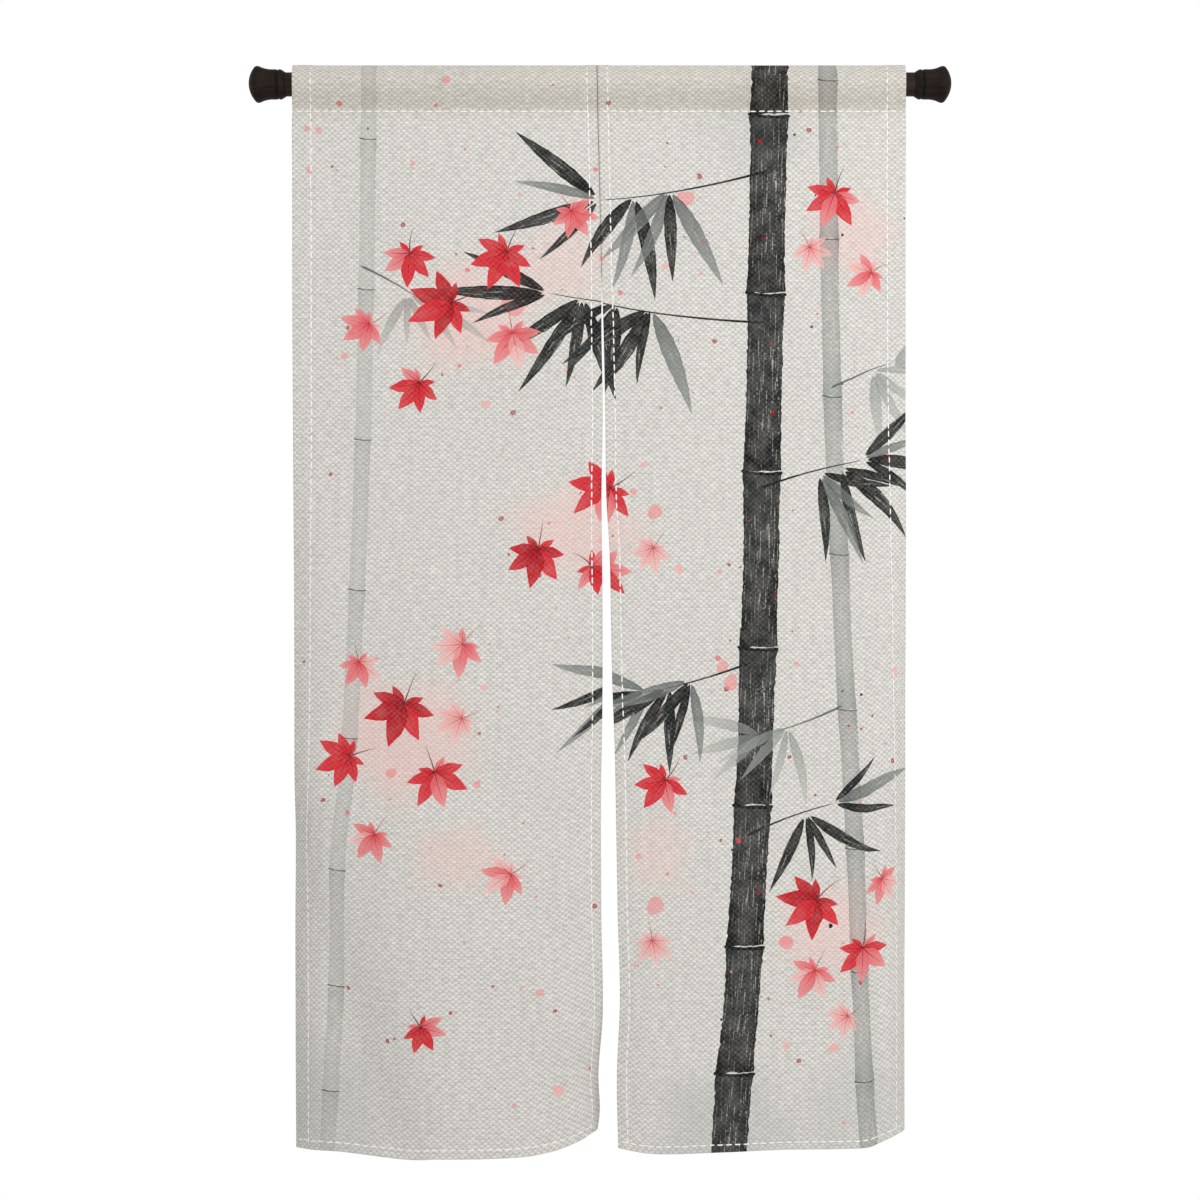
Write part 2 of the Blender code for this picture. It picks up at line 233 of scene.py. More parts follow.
RIGHT_PANEL = Panel(
    name="right_cloth",
    node="panel_right",
    outline=rows(
        Outline,
        (27, -4.3, 422.8), (0, -3.8, 421.0), (-30, -3.3, 422.6), (-60, -2.7, 423.5),
        (-110, -1.2, 423.2), (-272, 2.4, 423.2), (-300, 3.6, 423.3), (-350, 5.1, 423.6),
        (-460, 7.3, 424.1), (-570, 8.7, 425.6), (-650, 13.3, 426.0), (-820, 16.7, 426.6),
        (-930, 20.5, 427.4), (-1150, 24.4, 428.0), (-1262, 27.3, 427.7), (-1372, 23.1, 428.0),
        (-1473, 25.0, 428.2),
    ),
    hem=rows(
        Hem,
        (0.00, 4.0), (0.13, -1.5), (0.33, 0.5), (0.55, 1.5), (0.78, 1.0), (0.86, 1.8), (0.90, 8.0),
        (0.94, 12.4), (1.00, 14.6),
    ),
    folds=rows(
        Fold,
        (0.25, 0.40, -350, -1473, 20.0, 1.0), (0.86, 0.06, -950, -1290, -7.0, 0.4),
        (0.55, 0.12, -700, -1150, -4.0, 0.5),
    ),
    curls=rows(
        Curl,
        (1, 50.0, 42.0, -120, -1350), (-1, 40.0, 4.0, -290, -800),
    ),
    creases=rows(
        Crease,
        (384, -1170, 362, -1430, 26, 3.6, 0.0), (60, -780, 250, -860, 34, 1.8, 0.0),
        (330, -560, 410, -760, 30, -1.8, 0.0), (70, -1190, 60, -1450, 30, -2.6, 0.0),
        (140, -1330, 330, -1270, 36, 2.0, 0.0),
    ),
    left_hem=INNER_HEM,
    right_hem=OUTER_HEM,
    left_stitch=INNER_STITCH,
    right_stitch=OUTER_STITCH,
    bottom_stitch=RIGHT_HEM_STITCH,
    print_shift=0.0,
    edge_shifts=(SEAM_GAP / 2, 0.0),
)

# The finial's turned side, from its flat inner face to the rim of the dome
FINIAL_SIDE = rows(
    Turned,
    (0.0, 16.4), (6.2, 20.2), (8.6, 20.3), (9.5, 19.7), (10.6, 19.4), (11.7, 19.7), (12.6, 20.3),
    (21.0, 20.3), (26.0, 20.9), (31.0, 22.2), (35.0, 23.9), (37.6, 24.75), (39.6, 24.75),
)

# The print: bamboo in ink, with leaves of red maple drifting past. Places are on the flat front,
# from the doorway's middle and from the rod's axis.
Tone = namedtuple("Tone", "near far near_cover far_cover rim ends dry")
Mark = namedtuple("Mark", "outline inner place tone")
Culm = namedtuple("Culm", "foot_x_mm foot_z_mm top_x_mm top_z_mm bow_mm width_mm joint_mm tone ring")
Spray = namedtuple("Spray", "x_mm z_mm heading reach_mm fans leaf_mm tone twig")
Maple = namedtuple("Maple", "x_mm z_mm size_mm turn tone")
Wash = namedtuple("Wash", "x_mm z_mm wide_mm high_mm color cover")
DROPS = 300
INK_DROPS = 34
CULMS = rows(
    Culm,
    (150, -1520, 240, 140, 16, 50, 215, "culm", "ring"),
    (352, -1520, 316, 140, -10, 25, 190, "culm_far", "ring_far"),
    (-372, -1520, -315, 140, 10, 21, 180, "culm_mist", "ring_far"),
)
SPRAYS = rows(
    Spray,
    (318, -420, 20, 90, 2, 95, "blade_far", "ring_far"),
    (322, -860, 200, 120, 2, 100, "blade_far", "ring_far"),
    (-330, -250, -30, 110, 2, 90, "blade_far", "ring_far"),
    (232, -120, 190, 235, 3, 135, "blade", "twig"), (226, -330, 172, 300, 4, 140, "blade", "twig"),
    (214, -560, 15, 150, 3, 125, "blade", "twig"), (196, -800, 195, 150, 3, 130, "blade", "twig"),
    (182, -1040, 20, 130, 2, 110, "blade", "twig"),
)
MAPLES = rows(
    Maple,
    (326, -150, 78, 250, "red"), (376, -262, 62, 205, "rose"), (290, -225, 56, 300, "blush"),
    (-40, -175, 66, 300, "rose"), (-130, -230, 84, 245, "red"), (-205, -300, 92, 205, "deep"),
    (-122, -342, 78, 280, "rose"), (-262, -232, 70, 262, "red"), (-318, -330, 62, 215, "rose"),
    (-250, -410, 70, 230, "red"), (6, -560, 88, 215, "red"), (-88, -640, 80, 260, "deep"),
    (-14, -672, 70, 320, "red"), (62, -640, 58, 236, "blush"), (-190, -770, 74, 225, "rose"),
    (-268, -850, 90, 250, "deep"), (-340, -925, 72, 200, "red"), (-225, -945, 78, 290, "red"),
    (-300, -1030, 64, 240, "rose"), (-190, -872, 60, 208, "blush"), (-330, -795, 58, 282, "rose"),
    (-120, -1085, 66, 215, "rose"), (70, -960, 72, 235, "red"), (48, -1180, 56, 280, "blush"),
    (280, -1128, 90, 220, "deep"), (346, -1196, 74, 265, "red"), (276, -1226, 66, 242, "rose"),
    (372, -1106, 56, 300, "rose"), (322, -1290, 52, 215, "blush"), (-240, -1290, 58, 300, "red"),
)


# ---- curves

def smooth_step(value):
    value = np.clip(value, 0.0, 1.0)
    return value * value * (3.0 - 2.0 * value)


def curve_through(knots, at):
    """Values of the smooth curve through (place, value) knots, level past its ends."""
    places, values = np.array(knots, float).T
    straight = np.diff(values) / np.diff(places)
    inner = (values[2:] - values[:-2]) / (places[2:] - places[:-2])
    slopes = np.concatenate([straight[:1], inner, straight[-1:]])
    at = np.clip(at, places[0], places[-1])
    low = np.clip(np.searchsorted(places, at, side="right") - 1, 0, len(places) - 2)
    span = places[low + 1] - places[low]
    t = (at - places[low]) / span
    return (
        (2 * t**3 - 3 * t**2 + 1) * values[low]
        + (t**3 - 2 * t**2 + t) * span * slopes[low]
        + (3 * t**2 - 2 * t**3) * values[low + 1]
        + (t**3 - t**2) * span * slopes[low + 1]
    )


def lengths_along(points):
    """The distance along a line to each of its points."""
    return np.concatenate([[0.0], np.cumsum(np.linalg.norm(np.diff(points, axis=0), axis=1))])


# ---- the cloth's shape

def edge_x(panel, z, side):
    knots = [(row.z_mm, row[1 + side]) for row in reversed(panel.outline)]
    return curve_through(knots, z / MM) * MM + panel.edge_shifts[side]


def seen_x(panel, share, z):
    """The x at a share of the panel's seen width, at a height."""
    left, right = edge_x(panel, z, 0), edge_x(panel, z, 1)
    return left + share * (right - left)


def hem_z(panel, across):
    return HEM_LEVEL_Z + curve_through(panel.hem, across) * MM


def grown(form, z_mm):
    """How far a fold or curl has grown at a height, 0 above its top and 1 below its full height."""
    return smooth_step((z_mm - form.top_z_mm) / (form.full_z_mm - form.top_z_mm))


def fold_depth(panel, across, x, z):
    """How far the sheet lies behind the plane under the rod, from the panel's folds and curls."""
    depth, z_mm = np.zeros_like(x), z / MM
    for fold in panel.folds:
        below_full = np.maximum(0.0, fold.full_z_mm - z_mm) / (fold.full_z_mm - LOWEST_Z_MM)
        kept = 1.0 - (1.0 - fold.kept) * smooth_step(below_full)
        spread = np.exp(-(((across - fold.across) / fold.half_width) ** 2))
        depth -= fold.forward_mm * MM * grown(fold, z_mm) * kept * spread
    for curl in panel.curls:
        from_edge = np.abs(edge_x(panel, z, (curl.side + 1) // 2) - x)
        inside = np.maximum(0.0, 1.0 - from_edge / (curl.reach_mm * MM))
        depth += curl.back_mm * MM * grown(curl, z_mm) * inside * inside
    for crease in panel.creases:
        depth += crease_depth(crease, x / MM, z_mm) * MM
    return depth


def crease_depth(crease, x_mm, z_mm):
    start = np.array([crease.from_x_mm, crease.from_z_mm], float)
    line = np.array([crease.to_x_mm, crease.to_z_mm]) - start
    length = np.linalg.norm(line)
    ahead = line / length
    x_mm, z_mm = x_mm - start[0], z_mm - start[1]
    along = x_mm * ahead[0] + z_mm * ahead[1]
    left = z_mm * ahead[0] - x_mm * ahead[1]
    past = np.maximum(np.maximum(-along, along - length), 0.0)
    near_line = np.exp(-((left / crease.width_mm) ** 2))
    near_line = np.where(left > 0, crease.beyond + (1 - crease.beyond) * near_line, near_line)
    return crease.back_mm * near_line * np.exp(-((past / crease.width_mm) ** 2))


@lru_cache(maxsize=None)
def width_table(panel):
    """For heights going down and even shares of the cloth's width: the share of the panel's seen
    width at which they lie, which is less where the cloth turns away from the viewer."""
    heights = np.linspace(POCKET_SEAM_Z, LOWEST_Z_MM * MM, HEIGHT_STEPS + 1)
    shares = np.linspace(0.0, 1.0, WIDTH_STEPS + 1)
    across, z = np.meshgrid(shares, heights)
    x = seen_x(panel, across, z)
    steps = np.hypot(np.diff(x), np.diff(fold_depth(panel, across, x, z)))
    lengths = np.pad(np.cumsum(steps, axis=1), ((0, 0), (1, 0)))
    return np.stack([np.interp(shares, row / row[-1], shares) for row in lengths])


def seen_share(panel, across, z):
    """The share of the panel's seen width for a share of the cloth's width, at a height."""
    table = width_table(panel)
    row = HEIGHT_STEPS * np.clip((z - POCKET_SEAM_Z) / (LOWEST_Z_MM * MM - POCKET_SEAM_Z), 0.0, 1.0)
    column = WIDTH_STEPS * across
    i = np.clip(row.astype(int), 0, HEIGHT_STEPS - 1)
    j = np.clip(column.astype(int), 0, WIDTH_STEPS - 1)
    down, along = row - i, column - j
    upper = table[i, j] * (1 - along) + table[i, j + 1] * along
    lower = table[i + 1, j] * (1 - along) + table[i + 1, j + 1] * along
    return upper * (1 - down) + lower * down


def sewn_depth(panel, inset, length):
    """How far the stitches draw the cloth in along their lines, with soft puckers beside them."""
    depth = np.zeros_like(inset)
    for across, along, phase in (
        (inset - panel.left_stitch, length, 0.3),
        (PANEL_WIDTH - inset - panel.right_stitch, length, 1.7),
        (SHEET_DROP - panel.bottom_stitch - length, inset, 0.9),
        (length, inset, 2.2),
    ):
        groove = STITCH_SINK * np.exp(-((across / GROOVE_WIDTH) ** 2))
        wave = np.sin(along / PUCKER + phase) + 0.7 * np.sin(along / PUCKER * 1.73 + 2.1 * phase)
        depth += groove + PUCKER_DEPTH * wave * np.exp(-((across / PUCKER_WIDTH) ** 2))
    return depth * smooth_step(1.0 + length / (2 * MM))


def pocket_corners():
    """The printed face's section as straight lines between (y, z) points: from the flap's tail, up
    behind the rod, over the crease, down in front and on to the hem."""
    outer = ROD_RADIUS + POCKET_CLEARANCE + SOLID_CLOTH
    seam_lean = math.asin((ROD_RADIUS + POCKET_CLEARANCE) / abs(POCKET_SEAM_Z))
    angles = np.linspace(-seam_lean, math.asin(outer / CREASE_Z), POCKET_ANGLES)
    front = [(-SOLID_CLOTH, POCKET_SEAM_Z)]
    front += [(-outer * math.cos(angle), outer * math.sin(angle)) for angle in angles]
    back = [(-y, z) for y, z in front]
    corners = [(SOLID_CLOTH, POCKET_SEAM_Z - FLAP_TAIL)] + back + [(0.0, CREASE_Z)] + front[::-1]
    return np.array(corners + [(-SOLID_CLOTH, HEM_LEVEL_Z)])


def pocket_path():
    """The same section with soft corners, as rows (length, y, z). Length is 0 at the pocket's seam
    in front."""
    corners = pocket_corners()
    lengths = lengths_along(corners)
    even = np.arange(0.0, lengths[-1], PATH_STEP)
    points = np.stack([np.interp(even, lengths, column) for column in corners.T], axis=1)
    reach = int(PATH_SMOOTHING / PATH_STEP)
    padded = np.pad(points, ((reach, reach), (0, 0)), mode="reflect", reflect_type="odd")
    kernel = np.hanning(2 * reach + 3)[1:-1]
    kernel /= kernel.sum()
    points = np.stack([np.convolve(column, kernel, mode="valid") for column in padded.T], axis=1)
    past_crease = np.argmax(points[:, 1])
    seam = past_crease + np.argmin(np.abs(points[past_crease:, 1] - POCKET_SEAM_Z))
    lengths = lengths_along(points)
    return np.column_stack([lengths - lengths[seam], points])


PATH = pocket_path()
CREASE_LENGTH = PATH[np.argmax(PATH[:, 2]), 0]
FLAP_LENGTH = PATH[0, 0]


def front_face(panel, inset, length):
    """Points of the printed face: inset is how far from the panel's left edge, length how far below
    the pocket's seam."""
    y = np.interp(length, PATH[:, 0], PATH[:, 1])
    z = np.interp(length, PATH[:, 0], PATH[:, 2]) - np.maximum(0.0, length - PATH[-1, 0])
    across = inset / PANEL_WIDTH
    at_hem = seen_share(panel, across, np.full_like(across, HEM_LEVEL_Z))
    drawn = (hem_z(panel, at_hem) - POCKET_SEAM_Z) / (HEM_LEVEL_Z - POCKET_SEAM_Z)
    z = np.where(z < POCKET_SEAM_Z, POCKET_SEAM_Z + (z - POCKET_SEAM_Z) * drawn, z)
    seen = seen_share(panel, across, z)
    x = seen_x(panel, seen, z)
    folds = np.where(length > 0, fold_depth(panel, seen, x, z), 0.0)
    y = y + folds + sewn_depth(panel, inset, length)
    return np.stack([x, y, z], axis=-1)


def inward(panel, inset, length):
    """Unit normals of the printed face, pointing through the cloth."""
    reach = 1.0 * MM
    sideways = front_face(panel, inset + reach, length) - front_face(panel, inset - reach, length)
    downward = front_face(panel, inset, length + reach) - front_face(panel, inset, length - reach)
    normal = np.cross(sideways, downward)
    return normal / np.linalg.norm(normal, axis=-1, keepdims=True)


def turned_under(place, depth, edge, radius):
    """Folds a flat sheet under at an edge: a place on the sheet and a depth below its face become a
    place on the finished piece and a depth below its face."""
    bend_start = edge - radius
    arc = math.pi * (radius - THICK / 2)
    angle = np.clip((place - bend_start) / (radius - THICK / 2), 0.0, math.pi)
    finished = bend_start + (radius - depth) * np.sin(angle)
    deep = radius - (radius - depth) * np.cos(angle)
    finished = np.where(place < bend_start, place, finished)
    finished = np.where(place > bend_start + arc, 2 * bend_start + arc - place, finished)
    return finished, deep


def hem_share(panel, inset):
    """1 where a side hem lies behind the printed face, 0 where the cloth is single."""
    left = smooth_step((panel.left_hem + HEM_SLACK - inset) / HEM_SLACK)
    right = smooth_step((inset - (PANEL_WIDTH - panel.right_hem - HEM_SLACK)) / HEM_SLACK)
    return np.maximum(left, right)


def cloth_point(panel, flat_across, flat_down, depth):
    """Where a point of the flat cloth ends up in the hung panel. flat_across is measured from the
    finished left edge, flat_down from the pocket's seam, and depth from the printed face."""
    on_left = flat_across <= PANEL_WIDTH / 2
    from_far = np.where(on_left, PANEL_WIDTH - flat_across, flat_across)
    place, deep = turned_under(from_far, depth, PANEL_WIDTH, FOLD_RADIUS)
    inset = np.where(on_left, PANEL_WIDTH - place, place)
    share = hem_share(panel, inset)
    radius = FOLD_RADIUS + (CORNER_FOLD_RADIUS - FOLD_RADIUS) * share
    length, deep = turned_under(flat_down, deep, SHEET_DROP, radius)
    at_flap = smooth_step((CREASE_LENGTH - FLAP_FROM_CREASE - length) / FLAP_LIFT_LENGTH)
    in_pocket = smooth_step(-length / HEM_LIFT_LENGTH)
    lift = share * in_pocket * (HEM_LIFT_AT_ROD + (HEM_LIFT_AT_FLAP - HEM_LIFT_AT_ROD) * at_flap)
    normal = inward(panel, inset, length)
    return front_face(panel, inset, length) + normal * (deep - lift)[..., None]


# ---- print

def linear(red, green, blue):
    """A colour given as it looks on a screen, 0 to 255, in linear light."""
    share = np.array([red, green, blue], float) / 255.0
    return np.where(share <= 0.04045, share / 12.92, ((share + 0.055) / 1.055) ** 2.4)


INK = linear(10, 12, 12)
INK_DEEP = linear(34, 38, 37)
INK_MID = linear(82, 88, 86)
INK_GREY = linear(122, 127, 124)
INK_PALE = linear(168, 170, 166)
CRIMSON = linear(158, 8, 26)
RED = linear(200, 22, 36)
SCARLET = linear(213, 52, 62)
ROSE = linear(219, 78, 88)
PINK = linear(229, 138, 138)
BLUSH = linear(238, 190, 184)

TONES = {
    "culm": Tone(INK, INK_DEEP, 1.0, 1.0, 0.05, 0.02, 0.8),
    "culm_far": Tone(INK_GREY, INK_MID, 0.82, 0.62, 0.30, 0.25, 0.8),
    "culm_mist": Tone(INK_PALE, INK_GREY, 0.62, 0.48, 0.35, 0.25, 0.6),
    "ring": Tone(INK, INK, 1.0, 1.0, 0.0, 0.0, 0.1),
    "ring_far": Tone(INK_MID, INK_MID, 0.9, 0.8, 0.0, 0.0, 0.2),
    "twig": Tone(INK, INK_DEEP, 1.0, 0.95, 0.0, 0.0, 0.3),
    "blade": Tone(INK, INK_DEEP, 1.0, 0.97, 0.04, 0.0, 0.55),
    "blade_wash": Tone(INK_MID, INK_GREY, 0.92, 0.8, 0.12, 0.0, 0.4),
    "blade_far": Tone(INK_GREY, INK_PALE, 0.75, 0.55, 0.20, 0.0, 0.3),
    "deep": Tone(CRIMSON, RED, 1.0, 0.97, 0.04, 0.0, 0.12),
    "red": Tone(RED, SCARLET, 1.0, 1.0, 0.05, 0.0, 0.12),
    "rose": Tone(ROSE, PINK, 1.0, 0.92, 0.10, 0.0, 0.08),
    "blush": Tone(PINK, BLUSH, 0.9, 0.7, 0.2, 0.0, 0.0),
    "drop_ink": Tone(INK, INK, 0.95, 0.95, 0.0, 0.0, 0.0),
    "drop_red": Tone(CRIMSON, CRIMSON, 0.95, 0.95, 0.4, 0.0, 0.0),
    "drop_rose": Tone(ROSE, ROSE, 0.85, 0.85, 0.4, 0.0, 0.0),
    "drop_pink": Tone(PINK, PINK, 0.75, 0.75, 0.2, 0.0, 0.0),
    "vein": Tone(CRIMSON * 0.35, CRIMSON * 0.6, 0.95, 0.7, 0.0, 0.0, 0.2),
    "vein_soft": Tone(CRIMSON, RED, 0.75, 0.45, 0.0, 0.0, 0.2),
}
SOFTER = {"deep": "red", "red": "rose", "rose": "blush", "blush": "blush"}

# A maple leaf's lobes: the turn away from its middle in degrees, and the share of its length
MAPLE_LOBES = ((-128, 0.46), (128, 0.46), (-86, 0.74), (86, 0.74), (-43, 0.93), (43, 0.93), (0, 1.0))

# Soft stains: pale red around the leaves, pale ink at the feet of the culms
WASHES = rows(
    Wash,
    (-180, -320, 120, 95, BLUSH, 0.45), (-60, -250, 90, 70, BLUSH, 0.30),
    (-40, -620, 110, 90, BLUSH, 0.42), (-270, -900, 125, 110, BLUSH, 0.45),
    (-190, -1060, 80, 60, BLUSH, 0.30), (300, -1170, 95, 80, BLUSH, 0.40),
    (350, -210, 80, 70, BLUSH, 0.35), (60, -1060, 60, 70, BLUSH, 0.25),
    (150, -1440, 130, 110, INK_PALE, 0.35), (330, -1430, 90, 120, INK_PALE, 0.25),
    (-370, -1420, 90, 130, INK_PALE, 0.28), (215, -60, 110, 80, INK_PALE, 0.22),
)


def quadratic(start, middle, end, t):
    t = t[..., None]
    return (1 - t) ** 2 * start + 2 * t * (1 - t) * middle + t * t * end


def blade_width(t):
    return np.sin(math.pi * np.clip(t, 0.0, 1.0) ** 0.72) ** 0.9


def round_ends(t, share):
    return np.sqrt(np.clip(np.minimum(t, 1 - t) / share, 0.02, 1.0))


def twig_width(t):
    return (1.0 - 0.7 * t) * round_ends(t, 0.05)


def ring_width(t):
    """A stroke that swells at both ends, where the brush is pressed down."""
    return (0.55 + 0.45 * np.abs(2 * t - 1) ** 1.5) * round_ends(t, 0.06)


def lobe_width(t):
    """A pointed lobe with small teeth."""
    teeth = 1.0 + 0.16 * ((7.0 * t) % 1.0 - 0.5) * smooth_step(t / 0.3)
    return np.sin(math.pi * np.clip(t, 0.0, 1.0) ** 0.8) * teeth


def towards(heading):
    """The unit direction of a heading in degrees from the right, turning left."""
    angle = math.radians(heading)
    return np.array([math.cos(angle), math.sin(angle)])


def brush_mark(start, heading, length, width, bend, profile, tone):
    """A slightly bent stroke on the print, in metres, whose width follows a profile."""
    direction = towards(heading)
    start = np.array(start, float)
    end = start + direction * length
    middle = (start + end) / 2 + np.array([-direction[1], direction[0]]) * bend * length

    def line_at(t):
        before = quadratic(start, middle, end, np.clip(t - 0.01, 0, 1))
        after = quadratic(start, middle, end, np.clip(t + 0.01, 0, 1))
        ahead = after - before
        ahead /= np.linalg.norm(ahead, axis=-1, keepdims=True)
        return quadratic(start, middle, end, t), np.stack([-ahead[..., 1], ahead[..., 0]], axis=-1)

    def place(spots):
        t = np.clip((spots - start) @ direction / length, 0.0, 1.0)
        line, normal = line_at(t)
        half = np.maximum(width / 2 * profile(t), 1e-5)
        side = np.sum((spots - line) * normal, axis=-1) / half
        return t, np.clip(side, -1.0, 1.0), length, width / 2

    points = max(9, int(length / STROKE_STEP))
    t = (1.0 - np.cos(np.linspace(0.0, math.pi, points))) / 2
    line, normal = line_at(t)
    half = (width / 2 * profile(t))[:, None]
    half[0], half[-1] = min(half[0], 0.2 * MM), 0.0
    rough = 1.0 + EDGE_ROUGHNESS * np.sin(np.arange(points) * 2.4 + heading)[:, None]
    outline = np.concatenate([line + normal * half * rough, (line - normal * half / rough)[-2:0:-1]])
    return Mark(outline, line[1:-1:2] if width > 5 * MM else line[:0], place, tone)


def blot_mark(centre, radius, tone, rng):
    """A drop of colour with an uneven rim."""
    points = int(np.clip(6 + radius / MM * 2.2, 7, 22))
    angles = np.linspace(0.0, 2 * math.pi, points, endpoint=False)
    phases = rng.uniform(0.0, 2 * math.pi, 2)
    uneven = 1.0 + 0.10 * np.sin(2 * angles + phases[0]) + 0.06 * np.sin(3 * angles + phases[1])
    centre = np.array(centre, float)
    rim = np.column_stack([np.cos(angles), np.sin(angles)]) * (radius * uneven)[:, None]

    def place(spots):
        out = np.linalg.norm(spots - centre, axis=-1) / radius
        return np.full(out.shape, 0.5), np.clip(out, 0.0, 1.0), radius, radius

    inner = centre + 0.6 * rim[::2] if radius > 4 * MM else centre[None]
    return Mark(centre + rim, inner, place, tone)


def culm_x(culm, z):
    """The x of a culm's middle at a height, both in millimetres."""
    t = (z - culm.foot_z_mm) / (culm.top_z_mm - culm.foot_z_mm)
    return culm.foot_x_mm + (culm.top_x_mm - culm.foot_x_mm) * t + culm.bow_mm * np.sin(math.pi * t)


def culm_joints(culm):
    """Heights of a culm's joints in millimetres, further apart going up."""
    heights, z, gap = [culm.foot_z_mm], culm.foot_z_mm, culm.joint_mm * 0.72
    while z + gap < culm.top_z_mm - 30:
        z += gap
        heights.append(z)
        gap = min(gap * 1.12, culm.joint_mm * 1.15)
    return heights + [culm.top_z_mm]


def culm_marks(culm, rng):
    """A culm's lengths of stem and the dark strokes that cross it at its joints."""
    heights = culm_joints(culm)
    marks = [stem_mark(culm, low + 2.0, high - 2.0, rng) for low, high in zip(heights, heights[1:])]
    width = culm.width_mm * 1.18
    for z in heights[1:-1]:
        left = ((float(culm_x(culm, z)) - width / 2) * MM, (z + 1.5) * MM)
        thick = 0.11 * width * MM
        marks.append(brush_mark(left, -3, width * MM, thick, -0.10, ring_width, culm.ring))
    return marks


def stem_mark(culm, low, high, rng):
    """One length of stem between two joints, a single broad stroke with rough ends."""
    steps = max(6, int((high - low) / 4.5))
    t = np.linspace(0.0, 1.0, steps)
    z = low + (high - low) * t
    middle, half = culm_x(culm, z), culm.width_mm / 2 * (1.0 + 0.09 * np.abs(2 * t - 1) ** 5)
    wobble = rng.normal(0.0, 0.012 * culm.width_mm, (2, steps))
    left = np.column_stack([middle - half + wobble[0], z])
    right = np.column_stack([middle + half + wobble[1], z])
    ends = []
    for z_end, sign in ((low, -1), (high, 1)):
        across = np.linspace(-0.8, 0.8, 7) * culm.width_mm / 2 * -sign
        rough = z_end + rng.uniform(-2.5, 0.5, 7) * -sign
        ends.append(np.column_stack([culm_x(culm, z_end) + across, rough]))
    outline = np.concatenate([left, ends[1][::-1], right[::-1], ends[0][::-1]]) * MM
    shares = (-0.8, -0.4, 0, 0.4, 0.8)
    inner = [np.column_stack([middle + share * half, z])[1:-1] for share in shares]

    def place(spots):
        height = spots[..., 1] / MM
        share = np.clip((height - low) / (high - low), 0.0, 1.0)
        side = (spots[..., 0] / MM - culm_x(culm, height)) / (culm.width_mm / 2 * 1.05)
        return share, np.clip(side, -1.0, 1.0), (high - low) * MM, culm.width_mm / 2 * MM

    return Mark(outline, np.concatenate(inner) * MM, place, culm.tone)


def spray_marks(spray, rng):
    """A twig with fans of pointed leaves that hang from its outer half."""
    start, length = np.array([spray.x_mm, spray.z_mm]) * MM, spray.reach_mm * MM
    marks = [brush_mark(start, spray.heading, length, 3.4 * MM, 0.05, twig_width, spray.twig)]
    direction = towards(spray.heading)
    side = -1 if direction[0] < 0 else 1
    for fan in range(spray.fans):
        root = start + direction * spray.reach_mm * MM * (1.0 - 0.62 * fan / spray.fans)
        if fan == 0:
            heading = spray.heading + rng.uniform(-10, 10)
        else:
            heading = -90 + side * rng.uniform(10, 50)
        leaves = 3 + (fan + spray.fans) % 2
        for leaf in range(leaves):
            turn = (leaf - (leaves - 1) / 2) * rng.uniform(22, 30)
            marks.append(leaf_mark(spray, root, heading + turn, rng))
    return marks


def leaf_mark(spray, root, heading, rng):
    length = spray.leaf_mm * rng.uniform(0.72, 1.1) * MM
    bend = rng.uniform(-0.09, 0.09)
    width = length * rng.uniform(0.115, 0.155)
    tone = "blade_wash" if spray.tone == "blade" and rng.random() < 0.22 else spray.tone
    start = root + towards(heading) * (0.07 * length)
    return brush_mark(start, heading, length, width, bend, blade_width, tone)


def maple_marks(maple, rng):
    """A leaf of seven lobes, each one stroke from the stalk outwards, with its stalk and veins."""
    centre = np.array([maple.x_mm, maple.z_mm]) * MM
    reach = maple.size_mm * 0.68 * MM
    vein = "vein" if maple.tone in ("deep", "red") else "vein_soft"
    bend = rng.uniform(-0.15, 0.15)
    marks = [brush_mark(centre, maple.turn + 180, 0.75 * reach, 2.2 * MM, bend, twig_width, vein)]
    veins = []
    for turn, share in MAPLE_LOBES:
        heading = maple.turn + turn + rng.uniform(-5, 5)
        length = reach * share * rng.uniform(0.93, 1.06)
        bend = math.copysign(0.05, -turn) if turn else rng.uniform(-0.04, 0.04)
        tone = maple.tone if rng.random() < 0.72 else SOFTER[maple.tone]
        marks.append(brush_mark(centre, heading, length, 0.42 * length, bend, lobe_width, tone))
        veins.append(brush_mark(centre, heading, 0.8 * length, 1.3 * MM, bend, twig_width, vein))
    return marks + veins


def scattered_drops(rng):
    """Small drops all over the print, pink and red, with a few of ink by the culms."""
    marks = []
    for _ in range(DROPS):
        place = rng.uniform(-415, 415) * MM, rng.uniform(-1440, 10) * MM
        radius = min(rng.lognormal(0.4, 0.8), 15.0) * MM
        if radius > 4.0 * MM:
            tone = "blush" if rng.random() < 0.5 else "drop_pink"
        else:
            tone = str(rng.choice(["drop_red", "drop_red", "drop_rose", "drop_pink"]))
        marks.append(blot_mark(place, radius, tone, rng))
    for _ in range(INK_DROPS):
        culm = CULMS[int(rng.integers(0, 2))]
        z = rng.uniform(-1300, 0)
        place = (culm_x(culm, z) + rng.normal(0.0, 75.0)) * MM, z * MM
        marks.append(blot_mark(place, min(rng.lognormal(0.1, 0.5), 3.5) * MM, "drop_ink", rng))
    return marks


def print_marks():
    """Every mark of the print in the order of painting, from the palest culm to the red leaves."""
    rng = np.random.default_rng(21)
    marks = []
    for culm in CULMS[::-1]:
        marks += culm_marks(culm, rng)
    marks += scattered_drops(rng)
    for spray in SPRAYS:
        marks += spray_marks(spray, rng)
    for maple in MAPLES:
        marks += maple_marks(maple, rng)
    return marks


def on_print(panel, spots):
    """Spots of a panel's flat cloth, given across from its finished left edge and down, in the
    print's own coordinates."""
    return np.stack([spots[..., 0] + panel.print_shift, POCKET_SEAM_Z - spots[..., 1]], axis=-1)


